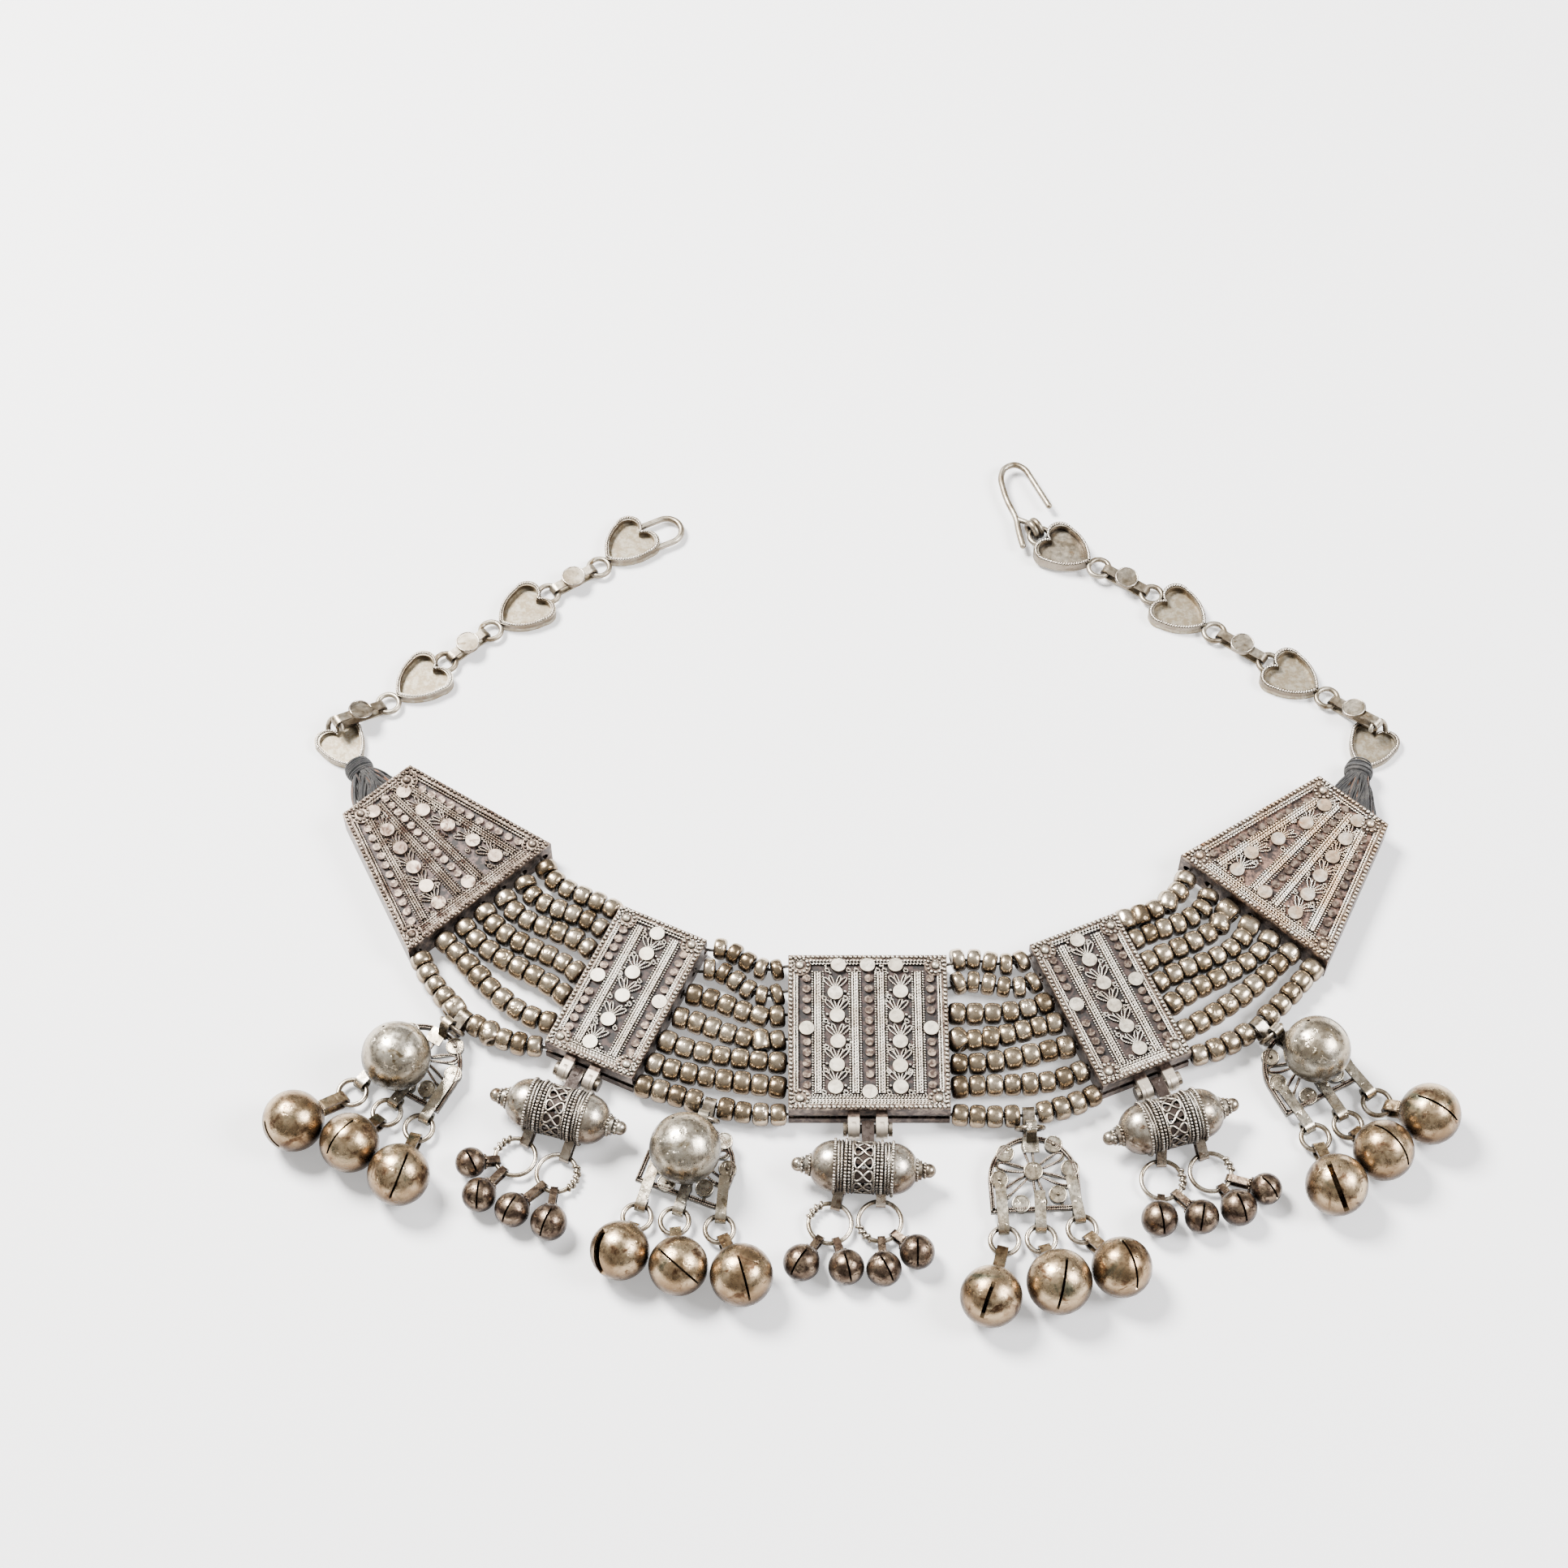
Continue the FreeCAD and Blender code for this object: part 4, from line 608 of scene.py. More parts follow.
def grow(name, tree, lines, body, finish, slot, **sizes):
    """lines is a list of (points in mm, closed or not)."""
    points = []
    edges = []
    for line, closed in lines:
        first = len(points)
        points += [Vector(p) * MM for p in line]
        edges += [(first + i, first + i + 1) for i in range(len(line) - 1)]
        if closed:
            edges.append((first + len(line) - 1, first))
    drawing = bpy.data.meshes.new(name)
    drawing.from_pydata(points, edges, [])
    piece = through_tree(name, drawing, tree, {**sizes, "Finish": finish})
    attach(piece, body)


OVAL_SHARE = 0.5


def beaded(name, lines, body, finish, slot, radius=0.36, pitch=0.72):
    grow(name, beaded_tree, lines, body, finish, slot, Radius=radius * MM, Pitch=pitch * MM)


def granules(name, spots, body, finish, slot, radius=0.3):
    grow(name, granule_tree, [([s], False) for s in spots], body, finish, slot,
         Radius=radius * MM)


def twisted(name, lines, body, finish, slot, radius=0.28, turn_length=1.2, step=0.2):
    grow(name, twisted_tree, lines, body, finish, slot, Radius=radius * MM,
         Flatness=OVAL_SHARE, Step=step * MM, Turns=2 * math.pi / (turn_length * MM))


def plain(name, lines, body, finish, slot, radius=0.2, step=0.3):
    grow(name, twisted_tree, lines, body, finish, slot, Radius=radius * MM,
         Flatness=1.0, Step=step * MM, Turns=0.0)


# %% [markdown]
# The beads are rolled from strip, so no two are quite alike: a barrel with a round
# belly, a little dent, a duller one here and there. The CAD frame knows where each lies.
# The script reads each bead's middle, direction and length from its loose piece of mesh,
# and a tree sets one well-made barrel on every point, then dents them all with noise.

# %% One barrel bead, as a turned profile
BEAD_SIDES = 18
BARREL = [(-1.0, 0.42), (-0.995, 0.58), (-0.95, 0.74), (-0.82, 0.875), (-0.58, 0.965),
          (-0.28, 0.995), (0.0, 1.0), (0.28, 0.995), (0.58, 0.965), (0.82, 0.875),
          (0.95, 0.74), (0.995, 0.58), (1.0, 0.42)]


def turned_bead():
    shape = bmesh.new()
    rings = []
    for x, r in BARREL:
        rings.append([shape.verts.new((x * MM, r * MM * math.cos(2 * math.pi * k / BEAD_SIDES),
                                       r * MM * math.sin(2 * math.pi * k / BEAD_SIDES)))
                      for k in range(BEAD_SIDES)])
    for a, b in zip(rings, rings[1:] + rings[:1]):
        for k in range(BEAD_SIDES):
            n = (k + 1) % BEAD_SIDES
            shape.faces.new((a[k], b[k], b[n], a[n]))
    bmesh.ops.recalc_face_normals(shape, faces=shape.faces)
    mesh = bpy.data.meshes.new("one_bead")
    shape.to_mesh(mesh)
    shape.free()
    return mesh


print("bead profile points", len(BARREL))

# %% [markdown]
# A string is one mesh of many loose beads. Each bead is walked from a first corner to
# all the corners that hang on it. It is round, so of the three main ways in which its
# corners spread, two are alike, and the third is the way its bore runs.

# %% Where each bead lies
def bead_places(node):
    """Middle, direction, half length and radius of every loose piece of a node."""
    shape = bmesh.new()
    shape.from_mesh(node.data)
    bmesh.ops.remove_doubles(shape, verts=shape.verts, dist=1e-6)
    left = set(shape.verts)
    found = []
    while left:
        seed = left.pop()
        piece = [seed]
        for vert in piece:
            for edge in vert.link_edges:
                other = edge.other_vert(vert)
                if other in left:
                    left.discard(other)
                    piece.append(other)
        points = np.array([v.co for v in piece])
        middle = (points.min(0) + points.max(0)) / 2
        values, ways = np.linalg.eigh(np.cov((points - points.mean(0)).T))
        pick = 0 if values[1] - values[0] > values[2] - values[1] else 2
        way = ways[:, pick]
        along = (points - middle) @ way
        radial = np.linalg.norm(points - middle - np.outer(along, way), axis=1)
        found.append((middle, way, (along.max() - along.min()) / 2, radial.max()))
    shape.free()
    return sorted(found, key=lambda f: f[0][0])


strings = {number: bead_places(nodes["bead_string_%d" % number]) for number in range(1, 8)}
print("beads on the strings", [len(beads) for beads in strings.values()])

# %% [markdown]
# The drawing of a string is one point for each bead, which carries the bead's turn and
# its size. The tree puts the model bead on the points, and only then, with all the beads
# real, pushes their skin in and out by noise, so that no two have the same dents.

# %% The bead tree
DENT_SIZE = 2.4
DENT_MIDDLE = 0.55
bead_tree, start, end = new_tree("beads on a string", [
    ("Bead", "Object"), ("Dent", "Float"), ("Finish", "Material")])
tree = bead_tree
spots = tree.nodes.new("GeometryNodeMeshToPoints")
model = tree.nodes.new("GeometryNodeObjectInfo")
place = tree.nodes.new("GeometryNodeInstanceOnPoints")
tree.links.new(start.outputs["Geometry"], spots.inputs["Mesh"])
tree.links.new(start.outputs["Bead"], model.inputs["Object"])
tree.links.new(spots.outputs["Points"], place.inputs["Points"])
tree.links.new(model.outputs["Geometry"], place.inputs["Instance"])
for label, socket in (("turn", "Rotation"), ("size", "Scale")):
    tag = tree.nodes.new("GeometryNodeInputNamedAttribute")
    tag.data_type = "FLOAT_VECTOR"
    tag.inputs["Name"].default_value = label
    tree.links.new(tag.outputs["Attribute"], place.inputs[socket])
real = tree.nodes.new("GeometryNodeRealizeInstances")
push = tree.nodes.new("GeometryNodeSetPosition")
noise = tree.nodes.new("ShaderNodeTexNoise")
noise.inputs["Scale"].default_value = 1 / (DENT_SIZE * MM)
noise.inputs["Detail"].default_value = 2.0
centred = tree.nodes.new("ShaderNodeMath")
centred.operation = "SUBTRACT"
centred.inputs[1].default_value = DENT_MIDDLE
depth = tree.nodes.new("ShaderNodeMath")
depth.operation = "MULTIPLY"
normal = tree.nodes.new("GeometryNodeInputNormal")
offset = tree.nodes.new("ShaderNodeVectorMath")
offset.operation = "SCALE"
smooth = tree.nodes.new("GeometryNodeSetShadeSmooth")
tree.links.new(place.outputs["Instances"], real.inputs[0])
tree.links.new(real.outputs[0], push.inputs["Geometry"])
tree.links.new(noise.outputs["Fac"], centred.inputs[0])
tree.links.new(centred.outputs[0], depth.inputs[0])
tree.links.new(start.outputs["Dent"], depth.inputs[1])
tree.links.new(normal.outputs[0], offset.inputs[0])
tree.links.new(depth.outputs[0], offset.inputs["Scale"])
tree.links.new(offset.outputs[0], push.inputs["Offset"])
tree.links.new(push.outputs[0], smooth.inputs["Geometry"])
close_tree(tree, start, end, smooth.outputs[0])

# %% [markdown]
# The real beads are a little fatter than the bored ones of the frame. So each grows by
# about a tenth where its neighbours on the next strings leave it room, and turns on its
# thread by chance. Its tone is by chance too: most are bright, a few are duller.

# %% String the beads
CLEARANCE = 0.04
PLUMP = (1.08, 1.16)
LONGER = 0.05
DENT_HEIGHT = 0.22
TONES = (0.0, 0.0, 0.0, 0.12, 0.22, 0.3, 0.65)


def room_for(number, middle):
    """Half the way to the nearest bead of the strings beside this one."""
    beside = [b[0] for other in (number - 1, number + 1) for b in strings.get(other, [])]
    return min(np.linalg.norm(middle - other) for other in beside) / 2 - CLEARANCE * MM


model_bead = bpy.data.objects.new("model_bead", turned_bead())
bpy.context.scene.collection.objects.link(model_bead)
dice = random.Random(5)
for number, beads in strings.items():
    drawing = bpy.data.meshes.new("beads_%d" % number)
    drawing.from_pydata([tuple(b[0]) for b in beads], [], [])
    turns = []
    sizes = []
    tones = []
    for middle, way, half, radius in beads:
        turn = Matrix(((way[0], -way[1], 0), (way[1], way[0], 0), (0, 0, 1))).to_euler()
        spin = dice.uniform(0, 6.28)
        turns += [spin, turn.y, turn.z]
        plump = min(radius * dice.uniform(*PLUMP), room_for(number, middle))
        plump = max(plump, radius) / MM
        sizes += [half / MM + LONGER, plump, plump]
        tones.append(dice.choice(TONES))
    for label, kind, values in (("turn", "FLOAT_VECTOR", turns), ("size", "FLOAT_VECTOR", sizes),
                                ("tone", "FLOAT", tones)):
        tag = drawing.attributes.new(label, kind, "POINT")
        tag.data.foreach_set("vector" if kind == "FLOAT_VECTOR" else "value", values)
    piece = through_tree("beads_%d" % number, drawing, bead_tree, {
        "Bead": model_bead, "Dent": DENT_HEIGHT * MM, "Finish": bead_silver})
    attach(piece, "necklace")
    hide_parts("bead_string_%d" % number)
    print("string", number, "beads", len(beads), "half length mm",
          round(min(b[2] for b in beads) / MM, 2), round(max(b[2] for b in beads) / MM, 2))
bpy.data.objects.remove(model_bead)

# %% [markdown]
# Each plaque is drawn flat first, in its own millimetres, and then laid in its place on
# the table. The middle and the turn that place the solid box place every line on it as
# well, so nothing has to be fitted afterwards. The end plaques are broader at the foot.

# %% Places of the five plaques
PLACES = {
    "end_left": (-78.55, 1.65, 41.8),
    "mid_left": (-41.5, -28.8, -24.9),
    "centre": (1.4, -36.9, 0.0),
    "mid_right": (44.3, -30.3, 22.8),
    "end_right": (81.3, -0.7, -41.5),
}
WIDTHS = {"mid_left": 17.2, "centre": 28.3, "mid_right": 17.2}
HALF_LENGTH = 15.2
END_FOOT = 16.6
END_HEAD = 7.9
WIRE_OF = {"end_left": wire_dark, "end_right": wire_rusty}
SLOT_OF = {"end_left": "dark_plaque_silver"}


def laid(place, x, y, z):
    px, py, turn = place
    a = math.radians(turn)
    return (px + x * math.cos(a) - y * math.sin(a), py + x * math.sin(a) + y * math.cos(a), z)


def outline(name, distance):
    """The plaque's edge, moved in by a distance, anticlockwise."""
    h = HALF_LENGTH
    if name in WIDTHS:
        w = WIDTHS[name] / 2.0 - distance
        return [(-w, -h + distance), (w, -h + distance), (w, h - distance), (-w, h - distance)]
    slope = (END_FOOT - END_HEAD) / (2 * h)
    side = distance * math.sqrt(1 + slope * slope)
    low = END_FOOT - side - slope * distance
    high = END_HEAD - side + slope * distance
    return [(-low, -h + distance), (low, -h + distance),
            (high, h - distance), (-high, h - distance)]


# %% [markdown]
# The rim of a plaque carries beaded wire, with a twisted wire soldered inside it. The
# broad bands between the panels are braids: three twisted wires side by side, laid so
# that neighbours lean opposite ways. Two passes of the twisted tree, one turning left
# and one turning right, give the herringbone that the eye reads as plaiting.

# %% Rims and braided bands
BANDS = {
    "centre": [(-8.9, -12.0, -8.9, 12.0), (-2.3, -12.0, -2.3, 12.0),
               (2.3, -12.0, 2.3, 12.0), (8.9, -12.0, 8.9, 12.0),
               (-10.5, -13.3, 10.5, -13.3)],
    "mid": [(-3.5, -12.6, -3.5, 12.8), (3.5, -12.6, 3.5, 12.8), (-4.6, -13.4, 4.6, -13.4)],
    "end": [(-1.5, 12.6, -2.4, -12.0), (1.5, 12.6, 2.4, -12.0), (-5.0, 11.0, -10.4, -12.0),
            (5.0, 11.0, 10.4, -12.0), (-12.0, -13.2, 12.0, -13.2)],
}
EDGE_ROWS = {
    "centre": [(-12.9, -11.0, -12.9, 11.0), (12.9, -11.0, 12.9, 11.0)],
    "mid": [(-7.2, -11.0, -7.2, 11.0), (7.2, -11.0, 7.2, 11.0)],
    "end": [(-7.9, 11.2, -14.3, -10.8), (7.9, 11.2, 14.3, -10.8)],
}
# how far in from the plaque's edge each wire of the rim runs, and how high it lies
RIM_BEADS = (0.42, 5.62)
RIM_ROPES = ((1.12, 5.45), (1.62, 5.3))
# how far beside the middle of a band its wires run, and how high they lie
BRAID_STEP = 0.44
BRAID_SIDE_Z = 5.36
BRAID_TOP_Z = 5.42
GRAIN_STEP = 0.95
GRAIN_Z = 5.2
FILIGREE_Z = 5.3


def kind_of(name):
    return name.split("_")[0]


def beside(line, offset):
    x0, y0, x1, y1 = line
    length = math.hypot(x1 - x0, y1 - y0)
    nx = -(y1 - y0) / length * offset
    ny = (x1 - x0) / length * offset
    return x0 + nx, y0 + ny, x1 + nx, y1 + ny


def on_face(place, line, z):
    x0, y0, x1, y1 = line
    return [laid(place, x0, y0, z), laid(place, x1, y1, z)]


for name, place in PLACES.items():
    wire = WIRE_OF.get(name, wire_bright)
    slot = SLOT_OF.get(name, "plaque_silver")
    rim = [laid(place, x, y, RIM_BEADS[1]) for x, y in outline(name, RIM_BEADS[0])]
    beaded(name + "_rim_beads", [(rim, True)], "necklace", wire, slot, 0.42, 0.84)
    rope = [([laid(place, x, y, z) for x, y in outline(name, inset)], True)
            for inset, z in RIM_ROPES]
    left_hand = []
    for band in BANDS[kind_of(name)]:
        for offset in (-BRAID_STEP, BRAID_STEP):
            rope.append((on_face(place, beside(band, offset), BRAID_SIDE_Z), False))
        left_hand.append((on_face(place, band, BRAID_TOP_Z), False))
    twisted(name + "_ropes", rope, "necklace", wire, slot, 0.3)
    twisted(name + "_braid", left_hand, "necklace", wire, slot, 0.32, -1.2)
    rows = []
    for row in EDGE_ROWS[kind_of(name)]:
        rows.append((on_face(place, row, FILIGREE_Z), False))
    for band in BANDS[kind_of(name)]:
        for offset in (GRAIN_STEP, -GRAIN_STEP):
            rows.append((on_face(place, beside(band, offset), GRAIN_Z), False))
    beaded(name + "_grain_rows", rows, "necklace", wire, slot, 0.24, 0.5)
print("plaque rims and bands:", made)

# %% [markdown]
# Inside the panels, each pellet sits at the foot of a small plant: four long loops of
# fine twisted wire open above it like leaves, a curl stands at either side, and three
# granules fill one corner. A leaf is drawn as a teardrop: a circle pulled out to a point.

# %% Pellets, leaves and curls
PELLETS = {
    "centre": [(-5.2, 13.2), (0.0, 13.2), (5.0, 13.2),
               (-5.8, 7.6), (-5.5, 3.1), (-5.4, -2.0), (-5.6, -6.6), (-5.9, -10.9),
               (5.8, 7.9), (5.0, 3.0), (5.6, -2.0), (5.5, -6.8), (5.5, -10.9)],
    "mid_left": [(-0.1, 12.6), (0.0, 8.1), (-0.6, 3.7), (-0.2, -1.2), (-0.4, -6.5),
                 (-1.3, -11.8)],
    "mid_right": [(-0.3, 12.7), (0.0, 8.3), (0.3, 3.1), (0.1, -1.7), (0.3, -6.2),
                  (0.5, -11.0)],
    "end_right": [(-3.4, 10.7), (-3.6, 5.4), (-5.4, -0.7), (-7.3, -6.3), (-7.1, -10.8),
                  (3.2, 12.0), (3.8, 7.4), (4.3, 2.8), (5.0, -1.9), (5.6, -6.5),
                  (6.2, -11.0)],
    "end_left": [(3.4, 11.4), (3.6, 6.0), (5.0, 0.4), (6.4, -5.2), (7.4, -10.4),
                 (-3.4, 11.8), (-3.9, 7.0), (-4.5, 2.4), (-5.2, -2.4), (-5.9, -7.0),
                 (-6.4, -11.2)],
}


LEAVES = ((48, 3.1, 1.0), (132, 3.1, 1.0), (70, 2.9, 0.75), (110, 2.9, 0.75))
SEEDS = ((1.75, 0.35), (2.3, -0.1), (1.45, -1.5))
LEAF_POINTS = 14
CURL_POINTS = 16
HIGHEST_LEAF = 12.0


def teardrop(x, y, bearing, length, width):
    """A closed loop with its point at x, y."""
    a = math.radians(bearing)
    line = []
    for i in range(LEAF_POINTS):
        s = 2 * math.pi * i / LEAF_POINTS
        u = length * (1 - math.cos(s)) / 2
        v = width / 2 * math.sin(s) * math.sin(s / 2)
        line.append((x + u * math.cos(a) - v * math.sin(a),
                     y + u * math.sin(a) + v * math.cos(a)))
    return line


def curl(x, y, side, size):
    """A spiral of one and a quarter turns, whose inner end the wire joins to the outer."""
    line = []
    for i in range(CURL_POINTS):
        t = i / (CURL_POINTS - 1)
        a = side * (2.5 * math.pi * t) + math.pi / 2
        line.append((x + side * size * (1 - 0.65 * t) * math.cos(a),
                     y + size * (1 - 0.65 * t) * math.sin(a)))
    return line


for name, pellets in PELLETS.items():
    place = PLACES[name]
    wire = WIRE_OF.get(name, wire_bright)
    slot = SLOT_OF.get(name, "plaque_silver")
    leaves = []
    seeds = []
    for i, (x, y) in enumerate(pellets):
        side = 1 if i % 2 else -1
        if y < HIGHEST_LEAF:
            for bearing, length, width in LEAVES:
                leaves.append(teardrop(x, y + 0.9, bearing, length, width))
        for way in (-1, 1):
            leaves.append(curl(x + way * 1.9, y - 0.9, way, 0.55))
        for dx, dy in SEEDS:
            seeds.append(laid(place, x + side * dx, y + dy, FILIGREE_Z))
    loops = [([laid(place, x, y, FILIGREE_Z) for x, y in line], True) for line in leaves]
    twisted(name + "_leaves", loops, "necklace", wire, slot, 0.2, 0.8, 0.2)
    granules(name + "_seeds", seeds, "necklace", wire, slot, 0.3)
print("filigree:", made)

# %% [markdown]
# Each corner of a plaque is fixed with a rosette: a dome in a ring of granules. The dome
# is solid metal of the frame. The ring is beaded wire bent to a circle and laid flat.

# %% Corner rosettes
CORNERS = {
    "centre": [(-12.1, -13.1), (12.1, -13.1), (-12.1, 13.1), (12.1, 13.1)],
    "mid": [(-6.5, -13.1), (6.5, -13.1), (-6.5, 13.1), (6.5, 13.1)],
    "end": [(-5.4, 13.0), (5.4, 13.0), (-14.0, -13.0), (14.0, -13.0)],
}


def circle(middle, first, second, radius, count=24):
    """A circle in the plane of two unit vectors."""
    line = []
    for i in range(count):
        a = 2 * math.pi * i / count
        line.append(middle + first * (radius * math.cos(a)) + second * (radius * math.sin(a)))
    return line


ROSETTE_R = 1.45
ROSETTE_Z = 5.68
EAST = Vector((1, 0, 0))
NORTH = Vector((0, 1, 0))
for name, place in PLACES.items():
    rings = []
    for x, y in CORNERS[kind_of(name)]:
        middle = Vector(laid(place, x, y, ROSETTE_Z))
        rings.append((circle(middle, EAST, NORTH, ROSETTE_R), True))
    beaded(name + "_rosettes", rings, "necklace", WIRE_OF.get(name, wire_bright),
           SLOT_OF.get(name, "plaque_silver"), 0.34, 0.78)
print("rosettes:", made)

# %% [markdown]
# An amulet case is a tube that once held a written charm. Round its middle runs a lace
# of small figure-of-eight openings, each edged with fine wire, between braided sleeves.
# The circles are drawn on the tube by angle and length, which bends them round it.

# %% Dress the three amulet cases
TUBE_Z = 4.6
TUBE_R = 4.25
EIGHTS = 12
EIGHT_POINTS = 24
# half the length and half the width of a figure of eight, and where the sleeves' wires lie
EIGHT_LENGTH = 1.62
EIGHT_WIDTH = 0.95
WIRE_LIFT = 0.12
SLEEVE_ROPES = (1.85, 3.75, 4.35)
SLEEVE_BEADS = ((2.45, 0.15), (3.1, 0.42), (5.0, 0.4))


def round_tube(place, along, angle, radius):
    """A point on the case: millimetres along it, degrees round it from the far side."""
    px, py, turn = place
    t = math.radians(turn)
    a = math.radians(angle)
    out = radius * math.cos(a)
    return (px + along * math.cos(t) - out * math.sin(t),
            py + along * math.sin(t) + out * math.cos(t), TUBE_Z + radius * math.sin(a))


def tube_ring(place, along, radius, count=40):
    return [round_tube(place, along, 360.0 * i / count, radius) for i in range(count)]


for side, place in CASES.items():
    body = "amulet_" + side
    lace = []
    for i in range(EIGHTS):
        middle = 360.0 / EIGHTS * (i + 0.5)
        eight = []
        for k in range(EIGHT_POINTS):
            a = 2 * math.pi * k / EIGHT_POINTS
            across = math.degrees(EIGHT_WIDTH * math.sin(2 * a) / TUBE_R)
            eight.append(round_tube(place, EIGHT_LENGTH * math.cos(a), middle + across,
                                    TUBE_R + WIRE_LIFT))
        lace.append((eight, True))
    plain("lace_" + side, lace, body, wire_bright, "case_silver", 0.2, 0.3)
    ropes = [(tube_ring(place, s * along, TUBE_R + WIRE_LIFT), True)
             for s in (-1, 1) for along in SLEEVE_ROPES]
    twisted("sleeve_ropes_" + side, ropes, body, wire_bright, "case_silver", 0.3, 0.9, 0.2)
    beads = [(tube_ring(place, s * along, TUBE_R + lift), True)
             for s in (-1, 1) for along, lift in SLEEVE_BEADS]
    beaded("sleeve_beads_" + side, beads, body, wire_bright, "case_silver", 0.3, 0.62)
    knobs = [(tube_ring(place, s * 9.25, 1.75, 20), True) for s in (-1, 1)]
    knobs += [(tube_ring(place, s * 10.6, 1.2, 16), True) for s in (-1, 1)]
    beaded("knob_collars_" + side, knobs, body, case_silver, "case_silver", 0.33, 0.68)
print("amulet cases:", made)

# %% [markdown]
# A worn ring is mended by binding wire round it. On these the binding is a close coil
# over part of the ring, so it is a helix whose axis bends along the ring's own circle.

# %% Bound rings of the amulets
RINGS = {
    "left": [(-60.2, -59.2, 3.5, 105, 160), (-52.9, -62.3, 3.5, -55, 25)],
    "centre": [(-5.6, -71.7, 3.7, 110, 165), (3.0, -71.3, 3.7, 195, 245)],
    "right": [(52.0, -63.6, 3.6, -25, 30), (60.5, -62.1, 3.6, 5, 45)],
}


RING_Z = 1.3
COIL_R = 0.5
COIL_PITCH = 1.05
POINTS_PER_TURN = 12


def binding(x, y, radius, first, last):
    """A coil on the ring round x, y, from the first bearing to the last."""
    turns = radius * math.radians(last - first) / COIL_PITCH
    count = int(turns * POINTS_PER_TURN)
    line = []
    for i in range(count + 1):
        t = i / count
        a = math.radians(first + (last - first) * t)
        b = 2 * math.pi * turns * t
        r = radius + COIL_R * math.cos(b)
        line.append((x + r * math.cos(a), y + r * math.sin(a), RING_Z + COIL_R * math.sin(b)))
    return line


for side, rings in RINGS.items():
    coils = [(binding(*ring), False) for ring in rings]
    plain("bindings_" + side, coils, "amulet_" + side, loop_silver, "wire_silver", 0.3, 0.25)

# %% [markdown]
# Where a bell's strap meets its ball, a collar hides the solder: a ring of granules on
# the small bells, a turn of twisted wire on the large ones. The collar's plane is square
# to the line from the ring to the bell's middle, which gives it its lean.

# %% Collars of the bells
# middle of the ball, its radius, and which of the case's two rings it hangs from
SMALL_BELLS = {
    "left": [(-67.8, -60.9, 2.7, 0), (-66.0, -67.1, 3.0, 0), (-60.2, -69.9, 3.05, 1),
             (-53.8, -72.3, 3.2, 1)],
    "centre": [(-10.5, -79.7, 3.2, 0), (-2.9, -80.5, 3.1, 0), (3.5, -80.8, 3.05, 1),
               (9.2, -77.7, 3.05, 1)],
    "right": [(50.9, -71.7, 3.2, 0), (58.2, -71.2, 3.0, 0), (64.6, -69.6, 3.2, 1),
              (69.6, -65.9, 2.8, 1)],
}
# middle of the jump ring, middle of the ball, and the ball's radius
LARGE_BELLS = [
    (-89.4, -46.9, -98.7, -54.2, 5.4), (-83.1, -50.8, -88.7, -58.3, 5.2),
    (-77.3, -53.8, -79.8, -64.4, 5.4), (-38.8, -70.6, -41.4, -78.3, 5.1),
    (-32.3, -71.4, -31.4, -81.1, 5.1), (-24.6, -72.9, -20.7, -82.9, 5.4),
    (24.3, -75.0, 21.4, -86.7, 5.3), (30.6, -74.7, 33.0, -84.2, 5.6),
    (37.7, -72.9, 43.7, -81.4, 5.2), (79.2, -55.6, 81.4, -66.3, 5.4),
    (85.1, -53.2, 90.1, -59.8, 5.3), (90.6, -48.9, 98.8, -52.9, 5.4),
]


BELL_RING_R = 2.45
BELL_RING_Z = 1.5
LOWEST_COLLAR = 0.8


def collar(ring_x, ring_y, ring_r, ring_z, x, y, radius, share):
    """A circle on the bell's ball round the place where its strap comes in."""
    middle = Vector((x, y, radius))
    level = Vector((x - ring_x, y - ring_y, 0)).normalized()
    wire = Vector((ring_x, ring_y, ring_z)) + level * ring_r
    aim = (middle - wire).normalized()
    side = aim.cross(UP).normalized()
    other = aim.cross(side)
    depth = radius * math.cos(math.asin(share))
    line = circle(middle - aim * (depth + 0.1), side, other, radius * share, 20)
    return [Vector((p.x, p.y, max(p.z, LOWEST_COLLAR))) for p in line]


for side, bells in SMALL_BELLS.items():
    collars = []
    for x, y, radius, which in bells:
        ring_x, ring_y, ring_r = RINGS[side][which][:3]
        collars.append((collar(ring_x, ring_y, ring_r, RING_Z, x, y, radius, 0.42), True))
    beaded("small_collars_" + side, collars, "amulet_" + side, small_bell_silver,
           "dark_bell_silver", 0.3, 0.62)
collars = []
for ring_x, ring_y, x, y, radius in LARGE_BELLS:
    collars.append((collar(ring_x, ring_y, BELL_RING_R, BELL_RING_Z, x, y, radius, 0.33), True))
twisted("large_collars", collars, "necklace", bell_silver, "bell_silver", 0.3, 0.9, 0.2)
print("bells:", made)

# %% [markdown]
# A pendant plate is a wire arch filled like a wheel: a hub, petals of bent wire and
# flat discs soldered over their ends. Its frame is a pair of twisted wires. The plate
# leans a little on what lies under it, so its points are tilted before they are laid.

# %% Dress the pendant plates
HUBS = [(-77.4, -40.9, -30.0), (-29.3, -60.1, -21.0), (29.6, -62.6, 3.0), (78.0, -41.7, 28.0)]
HUB_Z = 2.3
TILT = math.radians(4.0)
DISCS = [(-4.6, 3.5), (3.9, 4.8), (6.4, 0.2), (-6.0, -1.2), (-2.6, -5.8), (3.9, -4.4)]
PETALS = [(98, 4.9), (30, 5.4), (-22, 6.0), (166, 5.6), (216, 6.4), (280, 5.6)]
FRAME_ROPES = ((7.72, -7.02), (7.28, -6.58))
ARCH_SPRING = -1.4
ARCH_STEPS = 24
DISC_EDGE = (1.5, 0.68)
HUB_EDGE = (1.6, 0.78)


